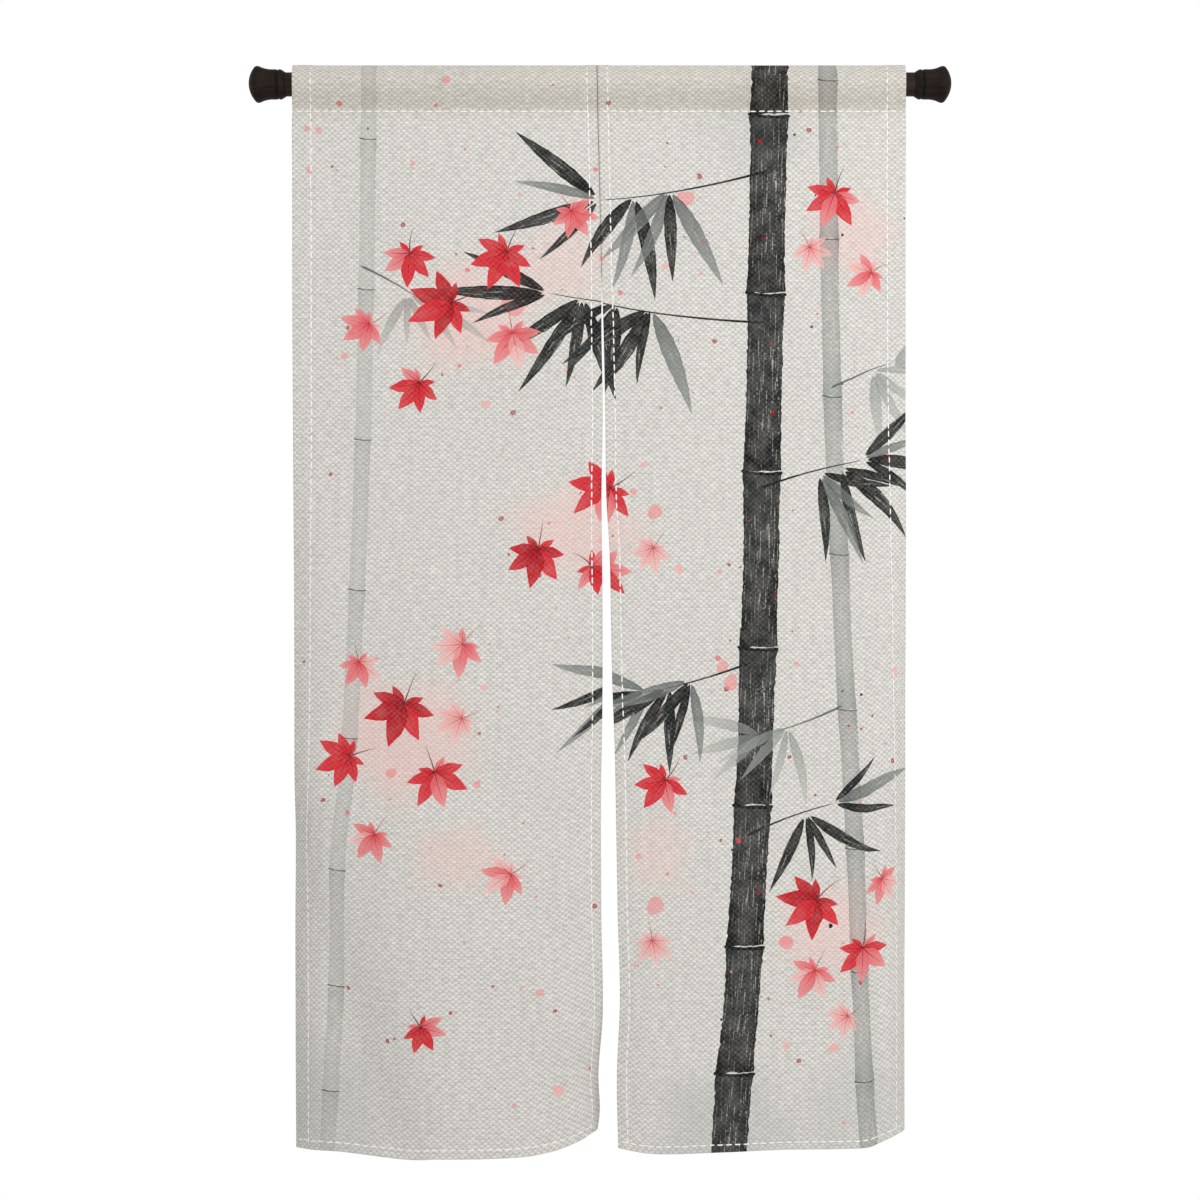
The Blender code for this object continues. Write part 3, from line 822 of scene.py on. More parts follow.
def on_flat_cloth(mark, panel, limits):
    """The mark in a panel's flat coordinates, kept inside its edges, or None if it lies outside."""

    def place(spots):
        return mark.place(on_print(panel, spots))

    def moved(points):
        return np.column_stack([points[:, 0] - panel.print_shift, POCKET_SEAM_Z - points[:, 1]])

    low, high = np.array(limits[::2]) + MM, np.array(limits[1::2]) - MM
    outline, inner = np.clip(moved(mark.outline), low, high), moved(mark.inner)
    steps = np.linalg.norm(outline - np.roll(outline, 1, axis=0), axis=1)
    outline = outline[steps > SHORTEST_STEP]
    if len(outline) < 3 or np.ptp(outline, axis=0).min() < SMALLEST_MARK:
        return None
    inner = inner[np.all((inner > low) & (inner < high), axis=1)]
    return Mark(outline, inner, place, mark.tone)


def inside_outline(outline, spots):
    x, y = spots[:, 0][:, None], spots[:, 1][:, None]
    x0, y0 = outline[:, 0], outline[:, 1]
    x1, y1 = np.roll(x0, -1), np.roll(y0, -1)
    crosses = (y0 > y) != (y1 > y)
    with np.errstate(divide="ignore", invalid="ignore"):
        at = x0 + (y - y0) / (y1 - y0) * (x1 - x0)
    return (np.sum(crosses & (x < at), axis=1) % 2).astype(bool)


def tone_at(mark, spots):
    """Colour with cover, and the stroke's coordinates with its dryness, at spots in a mark."""
    tone = TONES[mark.tone]
    along, side, length, half_width = mark.place(spots)
    share, to_ends = along[..., None], np.abs(2 * along - 1) ** 2
    color = tone.near * (1 - share) + tone.far * share
    cover = tone.near_cover * (1 - along) + tone.far_cover * along
    cover = cover * (1 - tone.rim * (1 - side * side)) * (1 - tone.ends * (1 - to_ends))
    dry = tone.dry * (0.35 + 0.65 * smooth_step(0.5 + side / 2)) * (1.0 - 0.7 * to_ends)
    stroke = np.stack([along * length, side * half_width, dry], axis=-1)
    return np.concatenate([color, cover[..., None]], axis=-1), stroke


def washes_at(spots):
    """Soft stains under the marks, at spots on the print."""
    painted = np.zeros(spots.shape[:-1] + (4,))
    for wash in WASHES:
        offset = spots / MM - np.array([wash.x_mm, wash.z_mm])
        offset /= np.array([wash.wide_mm, wash.high_mm])
        uneven = 0.12 * np.sin(5 * np.arctan2(offset[..., 1], offset[..., 0]) + wash.x_mm)
        out = np.linalg.norm(offset, axis=-1) * (1 + uneven)
        above = np.empty_like(painted)
        above[..., :3] = wash.color
        above[..., 3] = wash.cover * (1 - smooth_step((out - 0.35) / 0.65))
        painted = painted_over(painted, above)
    return painted


def painted_over(below, above):
    cover = above[..., 3:]
    total = cover + below[..., 3:] * (1 - cover)
    color = cover * above[..., :3] + below[..., 3:] * (1 - cover) * below[..., :3]
    return np.concatenate([color / np.maximum(total, 1e-6), total], axis=-1)


def paint(panel, marks, spots, middles):
    """Colours with cover, and stroke coordinates, at groups of spots whose middles lie in marks."""
    colors = washes_at(on_print(panel, spots))
    strokes = np.zeros(spots.shape[:-1] + (3,))
    for mark in marks:
        low, high = mark.outline.min(axis=0), mark.outline.max(axis=0)
        near = np.nonzero(np.all((middles > low) & (middles < high), axis=1))[0]
        near = near[inside_outline(mark.outline, middles[near])]
        if len(near):
            above, stroke = tone_at(mark, spots[near])
            colors[near] = painted_over(colors[near], above)
            strokes[near] = stroke
    return colors, strokes


# ---- panel meshes

def flat_limits(panel):
    """The raw edges of the flat cloth: left, right, top and bottom."""
    beyond = FOLD_ARC - 2 * FOLD_RADIUS
    left = -(panel.left_hem + beyond)
    right = PANEL_WIDTH + panel.right_hem + beyond
    return left, right, FLAP_LENGTH, SHEET_DROP + BOTTOM_HEM + beyond


def laid_out(start, *spans):
    """Places from a start onwards, through spans that each have an end and a step."""
    places = [start]
    for end, step in spans:
        count = max(1, round((end - places[-1]) / step))
        places += list(np.linspace(places[-1], end, count + 1)[1:])
    return np.array(places)


def grid_places(panel):
    """Columns and rows of the flat cloth's grid, close together where it bends."""
    left, right, top, bottom = flat_limits(panel)
    right_fold = PANEL_WIDTH - FOLD_RADIUS
    columns = laid_out(
        left,
        (FOLD_RADIUS - FOLD_ARC, GRID),
        (FOLD_RADIUS, FOLD_ARC / ARC_STEPS),
        (panel.left_stitch + SEWN_BAND, SEWN_GRID),
        (PANEL_WIDTH - panel.right_stitch - SEWN_BAND, GRID),
        (right_fold, SEWN_GRID),
        (right_fold + FOLD_ARC, FOLD_ARC / ARC_STEPS),
        (right, GRID),
    )
    bend = SHEET_DROP - CORNER_FOLD_RADIUS
    down = laid_out(
        top,
        (CREASE_LENGTH - CREASE_REACH, GRID),
        (CREASE_LENGTH + CREASE_REACH, FINE),
        (-3 * FINE, GRID),
        (3 * FINE, FINE),
        (bend - 12 * FINE, GRID),
        (bend, FINE),
        (bend + math.pi * (CORNER_FOLD_RADIUS - THICK / 2), CORNER_STEP),
        (bottom, HEM_STEP),
    )
    return columns, down


def triangulate(points, edges):
    """Delaunay triangles over flat points, kept to the edges: the points with any new ones where
    edges cross, the triangles, and for each of the points its place among them."""
    vectors = [Vector(point) for point in points.tolist()]
    result = delaunay_2d_cdt(vectors, edges, [], 0, MERGED, True)
    flat = np.array([tuple(point) for point in result[0]])
    found = np.zeros(len(points), int)
    for i, sources in enumerate(result[3]):
        for source in sources:
            found[source] = i
            flat[i] = points[source]
    triangles = np.array(result[2])
    corners = flat[triangles]
    first, second = corners[:, 1] - corners[:, 0], corners[:, 2] - corners[:, 0]
    area = first[:, 0] * second[:, 1] - first[:, 1] * second[:, 0]
    triangles[area < 0] = triangles[area < 0][:, ::-1]
    return flat, triangles[np.abs(area) > SLIVER_AREA], found


def bend_edges(columns, down):
    """Edges along the grid's lines where the cloth bends, which split the outlines that cross them."""
    order = np.arange(len(columns) * len(down)).reshape(len(columns), len(down))
    far_in = np.minimum(columns, PANEL_WIDTH - columns)
    at_sides = (far_in > FOLD_RADIUS - FOLD_ARC - TINY) & (far_in < FOLD_RADIUS + TINY)
    past_bend = down - (SHEET_DROP - CORNER_FOLD_RADIUS)
    at_hem = (past_bend > -TINY) & (past_bend < 3 * CORNER_FOLD_RADIUS)
    at_crease = np.abs(down - CREASE_LENGTH) < CREASE_REACH + TINY
    upright, level = order[at_sides], order[:, at_hem | at_crease]
    edges = [np.column_stack([upright[:, :-1].ravel(), upright[:, 1:].ravel()])]
    edges.append(np.column_stack([level[:-1].ravel(), level[1:].ravel()]))
    return np.concatenate(edges).tolist()


def border_loop(column_count, row_count):
    """The border points of a grid in order, as places in its list of points."""
    order = np.arange(column_count * row_count).reshape(column_count, row_count)
    return np.concatenate([order[:-1, 0], order[-1, :-1], order[:0:-1, -1], order[0, :0:-1]])


def cut_cloth(panel, marks):
    """The flat cloth cut along the outlines of its marks: its points, its triangles, and the points
    of its border in order."""
    columns, down = grid_places(panel)
    grid = np.stack(np.meshgrid(columns, down, indexing="ij"), axis=-1).reshape(-1, 2)
    points, edges, count = [grid], bend_edges(columns, down), len(grid)
    for mark in marks:
        loop = count + np.arange(len(mark.outline))
        edges += np.column_stack([loop, np.roll(loop, -1)]).tolist()
        points += [mark.outline, mark.inner]
        count += len(mark.outline) + len(mark.inner)
    flat, triangles, found = triangulate(np.concatenate(points), edges)
    return flat, triangles, found[border_loop(len(columns), len(down))]


def build_panel(panel, marks, material):
    """The panel as one closed thin sheet: the printed face, the same triangles on its back, and the
    rim between them."""
    limits = flat_limits(panel)
    marks = [mark for mark in (on_flat_cloth(mark, panel, limits) for mark in marks) if mark]
    flat, triangles, here = cut_cloth(panel, marks)
    count, there = len(flat), np.roll(here, -1)
    points = [cloth_point(panel, *flat.T, np.full(count, depth)) for depth in (0.0, THICK)]
    rim = np.column_stack([here, there, there + count, here, there + count, here + count])
    rim = rim.reshape(-1, 3)
    faces = np.concatenate([triangles[:, ::-1], triangles + count, rim])
    piece = mesh_object(panel.name, np.concatenate(points), faces, material)

    spots = flat[triangles]
    colors, strokes = paint(panel, marks, spots, spots.mean(axis=1))
    through = colors * np.array([1.0, 1.0, 1.0, SHOW_THROUGH])
    colors = np.concatenate([colors[:, ::-1], through, np.zeros((len(rim), 3, 4))])
    strokes = np.concatenate([strokes[:, ::-1], strokes, np.zeros((len(rim), 3, 3))])
    flat = np.concatenate([flat, flat])
    new = piece.data.attributes.new
    store(piece.data.color_attributes.new("print", "FLOAT_COLOR", "CORNER"), "color", colors)
    store(new("stroke", "FLOAT_VECTOR", "CORNER"), "vector", strokes)
    # Doubled cloth's tint, with painted shade at the rod pocket
    store(new("layers", "FLOAT", "POINT"), "value", cloth_layers(panel, flat))
    # Painted shade in the crevice of the seam between the panels
    store(new("joint", "FLOAT", "POINT"), "value", joint_shade(panel, flat))
    store(piece.data.uv_layers.new(name="cloth"), "uv", flat[faces])
    store(piece.data.uv_layers.new(name="OFBake"), "uv", baking_places(limits, flat, count)[faces])
    return piece


def flat_floats(values):
    return np.ascontiguousarray(values, np.float32).ravel()


def store(layer, field, values):
    """Fills one of a mesh's layers."""
    layer.data.foreach_set(field, flat_floats(values))


def cloth_layers(panel, flat):
    """How far the doubled cloth's tint shows, with painted shade: a little at the hems; at the rod
    pocket the tint with painted shade that is darkest just above its seam, runs on for about 16 mm
    below the seam onto single cloth, and is weaker towards the pocket's top, which faces the light.
    Elsewhere there is none."""
    inset = np.clip(flat[:, 0], 0.0, PANEL_WIDTH)
    side = HEM_SHADE * hem_share(panel, inset)
    bottom = HEM_SHADE * smooth_step((flat[:, 1] - (SHEET_DROP - BOTTOM_HEM)) / MM)
    above_seam = -flat[:, 1] / MM
    # Painted shade at the pocket: darkest about 11 mm above its seam, where the pocket's front faces
    # down, running on below the seam, and weaker towards the top, which faces the light
    shade_above_seam = np.exp(-(((above_seam - 11.0) / 10.0) ** 2))
    pocket = smooth_step((above_seam + 1.0) / 9.0) * (0.20 + 0.24 * shade_above_seam)
    pocket += 0.40 * smooth_step(1.0 + above_seam / 16.0)
    pocket *= 1.0 - 0.5 * smooth_step((above_seam - 36.0) / 26.0)
    return np.maximum(np.maximum(side, bottom), pocket)


def joint_shade(panel, flat):
    """Painted shade in the crevice where the panels are sewn together: 1 at that edge, 0 away from it
    and below the seam.
    """
    joined_edge = 0.0 if panel.left_hem < panel.right_hem else PANEL_WIDTH
    near_edge = np.exp(-(((flat[:, 0] - joined_edge) / SEAM_SHADE_WIDTH) ** 2))
    return near_edge * smooth_step((JOINED_DROP - flat[:, 1]) / SEAM_SHADE_END)


def baking_places(limits, flat, front_count):
    """The printed face and the back laid side by side in the unit square."""
    left, right, top, bottom = limits
    size = bottom - top + 2 * BAKE_MARGIN
    places = (flat - np.array([left, top]) + BAKE_MARGIN) / size
    places[front_count:, 0] += (right - left + BAKE_MARGIN) / size
    return places


def mesh_object(name, points, triangles, material, smooth=True):
    mesh = bpy.data.meshes.new(name)
    mesh.vertices.add(len(points))
    mesh.vertices.foreach_set("co", flat_floats(points))
    mesh.loops.add(triangles.size)
    mesh.loops.foreach_set("vertex_index", np.ascontiguousarray(triangles, np.int32).ravel())
    mesh.polygons.add(len(triangles))
    mesh.polygons.foreach_set("loop_start", np.arange(0, triangles.size, 3, dtype=np.int32))
    mesh.update(calc_edges=True)
    if smooth:
        mesh.shade_smooth()
    mesh.materials.append(material)
    return add_object(name, mesh)


def add_object(name, data):
    obj = bpy.data.objects.new(name, data)
    bpy.context.scene.collection.objects.link(obj)
    return obj


# ---- rod and finials

def rounded(profile):
    """The profile with each inner corner replaced by a small curve."""
    points = [np.array(point) for point in profile]
    result = [points[0]]
    for before, corner, after in zip(points, points[1:], points[2:]):
        back, ahead = before - corner, after - corner
        reach = min(CORNER_ROUND, 0.45 * np.linalg.norm(back), 0.45 * np.linalg.norm(ahead))
        start = corner + back / np.linalg.norm(back) * reach
        end = corner + ahead / np.linalg.norm(ahead) * reach
        result += list(quadratic(start, corner, end, np.linspace(0.0, 1.0, ROUND_STEPS)))
    return result + [points[-1]]


def turned_piece(name, profile, material):
    """A solid turned about X from (along, radius) points, closed on the axis at both ends."""
    angles = np.linspace(0.0, 2 * math.pi, ROUND_SIDES, endpoint=False)
    profile = np.array(profile)
    along, radii = profile[1:-1].T
    y, z = np.outer(radii, np.cos(angles)).ravel(), np.outer(radii, np.sin(angles)).ravel()
    points = np.column_stack([np.repeat(along, ROUND_SIDES), y, z])
    points = np.vstack([points, (profile[0][0], 0.0, 0.0), (profile[-1][0], 0.0, 0.0)])
    side = np.arange(ROUND_SIDES)
    following = (side + 1) % ROUND_SIDES
    start, end = np.full(ROUND_SIDES, len(points) - 2), np.full(ROUND_SIDES, len(points) - 1)
    last = (len(along) - 1) * ROUND_SIDES
    faces = [(start, side, following)]
    for here in range(0, last, ROUND_SIDES):
        there = here + ROUND_SIDES
        faces.append((here + following, here + side, there + side))
        faces.append((here + following, there + side, there + following))
    faces.append((end, last + following, last + side))
    faces = np.concatenate([np.column_stack(corners) for corners in faces])
    if profile[-1][0] > profile[0][0]:
        faces = faces[:, ::-1]
    piece = mesh_object(name, points, faces, material)
    piece.data.set_sharp_from_angle(angle=math.radians(50))
    return piece


def build_rod(material):
    hole_radius, end = DOWEL_RADIUS + FIT_GAP, ROD_HALF_LENGTH
    hole_end = end - DOWEL_LENGTH - FIT_GAP
    half = [(hole_end, 0.0), (hole_end, hole_radius), (end, hole_radius), (end, ROD_RADIUS)]
    profile = [(-along, radius) for along, radius in half] + half[::-1]
    return turned_piece("rod_wood", rounded(profile), material)


def build_finial(name, side, material):
    dome_depth = DOME_RADIUS - math.sqrt(DOME_RADIUS**2 - DOME_RIM_RADIUS**2)
    dome_angle = math.asin(DOME_RIM_RADIUS / DOME_RADIUS)
    profile = [(-DOWEL_LENGTH, 0.0), (-DOWEL_LENGTH, DOWEL_RADIUS), (0.0, DOWEL_RADIUS)]
    profile += [(row.along_mm * MM, row.radius_mm * MM) for row in FINIAL_SIDE]
    for i in range(DOME_RINGS):
        angle = dome_angle * (1 - i / DOME_RINGS)
        along = DOME_START + dome_depth - DOME_RADIUS * (1 - math.cos(angle))
        profile.append((along, DOME_RADIUS * math.sin(angle)))
    profile.append((DOME_START + dome_depth, 0.0))
    start = ROD_HALF_LENGTH + FIT_GAP
    profile = [(side * (start + along), radius) for along, radius in rounded(profile)]
    return turned_piece(name, profile, material)


# ---- stitches

def stitch_template(length):
    """One stitch along X on the plane z = 0: a thread that rises from the cloth and dips in again."""
    sections, sides = STITCH_SECTIONS, STITCH_SIDES
    points, faces = [], []
    for t in np.arange(sections) / (sections - 1):
        swell = math.sin(math.pi * t) ** 0.35 if 0 < t < 1 else 0.05
        lift, thick = THREAD_HEIGHT * (0.5 * swell - 0.05), 0.35 + 0.65 * swell
        for angle in 2 * math.pi * np.arange(sides) / sides:
            sideways = THREAD_WIDTH / 2 * math.cos(angle) * thick
            up = lift + THREAD_HEIGHT / 2 * math.sin(angle) * thick
            points.append(((t - 0.5) * length, sideways, up))
    for here in range(0, (sections - 1) * sides, sides):
        for k in range(sides):
            side, beside = here + k, here + (k + 1) % sides
            faces += [(side, side + sides, beside), (beside, side + sides, beside + sides)]
    last = (sections - 1) * sides
    for k in range(1, sides - 1):
        faces += [(0, k, k + 1), (last, last + k + 1, last + k)]
    return np.array(points), np.array(faces)


def along_line(start, end, first):
    """Stitch centres along a straight line of the flat cloth, and the line's direction."""
    start, end = np.array(start), np.array(end)
    length = np.linalg.norm(end - start)
    ahead = (end - start) / length
    places = np.arange(first, length - STITCH_PITCH / 3, STITCH_PITCH)
    return start + places[:, None] * ahead, ahead


def stitch_lines(panel):
    """The panel's stitched lines, each from one flat point to another."""
    top, bottom = CREASE_LENGTH + STITCH_TOP, SHEET_DROP - STITCH_BOTTOM
    left, right = panel.left_stitch, PANEL_WIDTH - panel.right_stitch
    near, far = STITCH_MARGIN, PANEL_WIDTH - STITCH_MARGIN
    hem = SHEET_DROP - panel.bottom_stitch
    return (
        ((left, top), (left, bottom)),
        ((right, top), (right, bottom)),
        ((near, SEAM_STITCH_DROP), (far, SEAM_STITCH_DROP)),
        ((near, hem), (far, hem)),
    )


def build_stitches(panel, material):
    """All of the panel's running stitches, on its front and, between them, on its back."""
    rng = np.random.default_rng(7 + len(panel.name))
    all_points, all_flat, all_faces, count = [], [], [], 0
    for line_number, (start, end) in enumerate(stitch_lines(panel)):
        for on_back, length in ((False, FRONT_STITCH), (True, BACK_STITCH)):
            first = STITCH_PITCH * (1.0 if on_back else 0.5)
            centres, ahead = along_line(start, end, first)
            centres = centres + rng.normal(0.0, STITCH_SCATTER, centres.shape)
            stretch = rng.uniform(0.93, 1.06, (len(centres), 1, 1))
            template, faces = stitch_template(length)
            aside = np.array([-ahead[1], ahead[0]])
            flat = centres[:, None] + ahead * (template[:, :1] * stretch) + aside * template[:, 1:2]
            points = stitched_point(panel, flat, template[:, 2], on_back, line_number > 1)
            all_points.append(points.reshape(-1, 3))
            all_flat.append(flat.reshape(-1, 2))
            offsets = count + np.arange(len(centres)) * len(template)
            turned = faces[:, ::-1] if on_back else faces
            all_faces.append((turned + offsets[:, None, None]).reshape(-1, 3))
            count += len(centres) * len(template)
    faces = np.concatenate(all_faces)
    name = panel.name.replace("cloth", "stitches")
    piece = mesh_object(name, np.concatenate(all_points), faces, material)
    store(piece.data.uv_layers.new(name="cloth"), "uv", np.concatenate(all_flat)[faces])
    return piece


def stitched_point(panel, flat, height, on_back, doubled):
    """Points at a height over the finished panel's front or back."""
    inset, length = flat[..., 0], flat[..., 1]
    normal = inward(panel, inset, length)
    surface = front_face(panel, inset, length)
    if not on_back:
        return surface - normal * height[:, None]
    layers = np.where(hem_share(panel, inset) > 0.5, 2.0, 1.0) * (2.0 if doubled else 1.0)
    depth = (layers - 1) * (2 * FOLD_RADIUS - THICK) + THICK
    return surface + normal * (depth + height)[..., None]


# ---- materials

# Bare cloth: lit where its threads stand up, painted shade between them
CLOTH_LIGHT = linear(219, 216, 210)
CLOTH_SHADE = linear(187, 184, 180)
# Warmer tint of doubled cloth, which also carries the painted shade at the rod pocket
DOUBLE_CLOTH_AND_SHADE_TINT = (0.84, 0.82, 0.76)
# Painted shade in the crevice of the seam that joins the panels
SEAM_SHADE_TINT = (0.28, 0.27, 0.25)
THREAD_LIGHT = linear(255, 254, 250)
THREAD_SHADE = linear(238, 235, 228)
PORE_COLOR = linear(10, 8, 8)
# Painted shade for the finial's groove
GROOVE_SHADE_COLOR = linear(4, 3, 3)

# A Mix node's sockets for colours
MIX_A, MIX_B, MIX_RESULT = 6, 7, 2


def new_material(name):
    """A new material with its shader, whose id_data is the node tree."""
    material = bpy.data.materials.new(name)
    material.use_nodes = True
    return material, material.node_tree.nodes["Principled BSDF"]


def is_socket(value):
    return isinstance(value, bpy.types.NodeSocket)


def set_inputs(node, values):
    """A node's inputs set to values or linked from sockets."""
    for name, value in values.items():
        if is_socket(value):
            node.id_data.links.new(value, node.inputs[name])
        else:
            node.inputs[name].default_value = value


def add_node(tree, kind, values=None, **settings):
    node = tree.nodes.new("ShaderNode" + kind)
    for name, value in settings.items():
        setattr(node, name, value)
    set_inputs(node, values or {})
    return node


def joined(kind, values, output=0, **settings):
    """An output of a new node beside the sockets that some of its values are."""
    tree = next(value.id_data for value in values.values() if is_socket(value))
    return add_node(tree, kind, values, **settings).outputs[output]


def mesh_value(tree, name, output="Fac"):
    return add_node(tree, "Attribute", attribute_name=name).outputs[output]


def split(vector, axis):
    return joined("SeparateXYZ", {0: vector}, axis)


def math_node(operation, *values, clamp=False):
    return joined("Math", dict(enumerate(values)), operation=operation, use_clamp=clamp)


def times(first, second, clamp=False):
    return math_node("MULTIPLY", first, second, clamp=clamp)


def plus(first, second, clamp=False):
    return math_node("ADD", first, second, clamp=clamp)


def size_of(value):
    return math_node("ABSOLUTE", value)


def vector_math(operation, first, second):
    return joined("VectorMath", {0: first, 1: second}, operation=operation)


def noise_node(vector, scale, detail=2.0, roughness=0.5, output="Fac"):
    """Noise of one scale, or of a scale for each axis."""
    if isinstance(scale, tuple):
        vector, scale = vector_math("MULTIPLY", vector, scale), 1.0
    values = {"Vector": vector, "Scale": scale, "Detail": detail, "Roughness": roughness}
    return joined("TexNoise", values, output)


def mixed_color(factor, first, second, blend="MIX"):
    """Two colours mixed, each a socket or an RGB value."""
    first, second = (color if is_socket(color) else (*color, 1.0) for color in (first, second))
    values = {0: factor, MIX_A: first, MIX_B: second}
    return joined("Mix", values, MIX_RESULT, data_type="RGBA", blend_type=blend)


def tinted(color, share, tint):
    """A colour multiplied by a tint, as far as a share says."""
    return mixed_color(share, color, mixed_color(1.0, color, tint, "MULTIPLY"))


def bumped(strength, distance, height):
    return joined("Bump", {"Strength": strength, "Distance": distance, "Height": height}, "Normal")


def remapped(value, low, high, to_low, to_high, kind="LINEAR"):
    values = {"Value": value, "From Min": low, "From Max": high, "To Min": to_low, "To Max": to_high}
    return joined("MapRange", values, interpolation_type=kind)


def eased(wave, power):
    """A wave made squarer by a power below 1, or sharper by one above 1."""
    size = math_node("POWER", size_of(wave), power)
    return times(size, math_node("SIGN", wave))


def weave(flat):
    """Where the threads of a plain weave stand up, 1 and -1 at its crossings, with the waves of its
    rows and a slight wander."""
    wander = noise_node(flat, 90.0, output="Color")
    offset = vector_math("SUBTRACT", wander, (0.5, 0.5, 0.5))
    offset = vector_math("MULTIPLY", offset, (2.6 * MM, 1.7 * MM, 0.0))
    woven = vector_math("ADD", flat, offset)
    parts = add_node(flat.id_data, "SeparateXYZ", {0: woven})
    across = times(parts.outputs["X"], math.pi / THREAD_ACROSS)
    down = times(parts.outputs["Y"], math.pi / THREAD_DOWN)
    rows_wave = math_node("SINE", down)
    columns_wave = math_node("SINE", across)
    crossing = times(eased(columns_wave, 0.6), eased(rows_wave, 1.3))
    return crossing, rows_wave


def woven_color(flat, crossing, rows_wave, fibres, slub):
    """Bare cloth with painted shade between the threads and between their rows, and uneven threads and
    fibres.
    """
    # Painted light on the threads' crossings and painted shade between threads and rows
    light = remapped(crossing, -1.0, 0.35, 0.0, 1.0, "SMOOTHSTEP")
    color = mixed_color(light, CLOTH_SHADE, CLOTH_LIGHT)
    dashes = noise_node(flat, (90.0, 270.0, 1.0), 1.0)
    shade = remapped(slub, 0.6, 1.4, 0.94, 1.05)
    for part in (
        remapped(noise_node(flat, 9.0, 3.0), 0.3, 0.7, 0.985, 1.01),
        remapped(dashes, 0.25, 0.75, 0.86, 1.13),
        remapped(size_of(rows_wave), 0.0, 0.8, 0.84, 1.04, "SMOOTHSTEP"),
        remapped(fibres, 0.3, 0.7, 0.95, 1.04),
    ):
        shade = times(shade, part)
    grey = joined("CombineColor", {0: shade, 1: shade, 2: shade})
    return mixed_color(1.0, color, grey, "MULTIPLY")


def ink_cover(flat, crossing, alpha):
    """How much of the print covers the cloth: it breaks up where the brush was dry."""
    stroke = mesh_value(flat.id_data, "stroke", "Vector")
    streak = noise_node(stroke, (22.0, 420.0, 0.0), 3.0, 0.6)
    gap = plus(streak, times(noise_node(flat, 330.0), 0.35))
    gap = remapped(gap, 0.74, 0.84, 0.0, 1.0, "SMOOTHSTEP")
    lost = times(gap, split(stroke, "Z"))
    pooled = remapped(noise_node(flat, 42.0, 4.0, 0.6), 0.3, 0.7, 0.93, 1.08)
    cover = times(alpha, math_node("SUBTRACT", 1.0, lost))
    cover = times(cover, pooled, clamp=True)
    return times(cover, remapped(crossing, -1.0, 1.0, 1.0, 0.95), clamp=True)


def cloth_material():
    """Plain woven cloth with painted shade between its threads and the print on it, a warmer tint
    where the cloth is double with painted shade at the rod pocket, and a painted shade line in the
    seam between the panels."""
    material, shader = new_material("cloth")
    tree = shader.id_data
    flat = add_node(tree, "UVMap", uv_map="cloth").outputs["UV"]
    crossing, rows_wave = weave(flat)
    weft_on_top = remapped(crossing, -0.2, 0.2, 0.0, 1.0, "SMOOTHSTEP")
    warp_fibres = noise_node(flat, (1500.0, 90.0, 1.0))
    weft_fibres = noise_node(flat, (90.0, 1500.0, 1.0))
    fibres = joined("Mix", {"Factor": weft_on_top, "A": warp_fibres, "B": weft_fibres})
    warp_slub = noise_node(flat, (240.0, 12.0, 1.0))
    slub = plus(warp_slub, noise_node(flat, (12.0, 270.0, 1.0)))

    color = woven_color(flat, crossing, rows_wave, fibres, slub)
    mark = add_node(tree, "VertexColor", layer_name="print")
    cover = ink_cover(flat, crossing, mark.outputs["Alpha"])
    color = mixed_color(cover, color, mark.outputs["Color"])
    # Doubled cloth's tint, with painted shade at the rod pocket
    color = tinted(color, mesh_value(tree, "layers"), DOUBLE_CLOTH_AND_SHADE_TINT)
    # Painted shade line in the crevice of the seam between the panels
    color = tinted(color, mesh_value(tree, "joint"), SEAM_SHADE_TINT)
    bulge = math_node("POWER", size_of(crossing), 0.6)
    height = plus(bulge, times(slub, 0.35))
    height = plus(height, times(fibres, 0.2))
    surface = {"Roughness": 0.92, "Specular IOR Level": 0.06, "Sheen Weight": 0.02}
    surface |= {"Sheen Roughness": 0.5, "Normal": bumped(0.6, 0.5 * MM, height)}
    set_inputs(shader, surface | {"Base Color": color})
    return material


def thread_material():
    """White sewing thread: twisted, with fine lines across it and a slightly uneven colour."""
    material, shader = new_material("thread")
    place = add_node(shader.id_data, "UVMap", uv_map="cloth").outputs["UV"]
    parts = add_node(shader.id_data, "SeparateXYZ", {0: place})
    slanted = plus(parts.outputs["X"], parts.outputs["Y"])
    twist = math_node("SINE", times(slanted, math.pi / THREAD_TWIST))
    light = remapped(twist, -1.0, 1.0, 0.0, 0.6)
    light = plus(light, noise_node(place, 90.0), clamp=True)
    color = mixed_color(light, THREAD_SHADE, THREAD_LIGHT)
    surface = {"Base Color": color, "Normal": bumped(0.5, 0.1 * MM, twist)}
    set_inputs(shader, surface | {"Roughness": 0.6, "Specular IOR Level": 0.35})
    return material


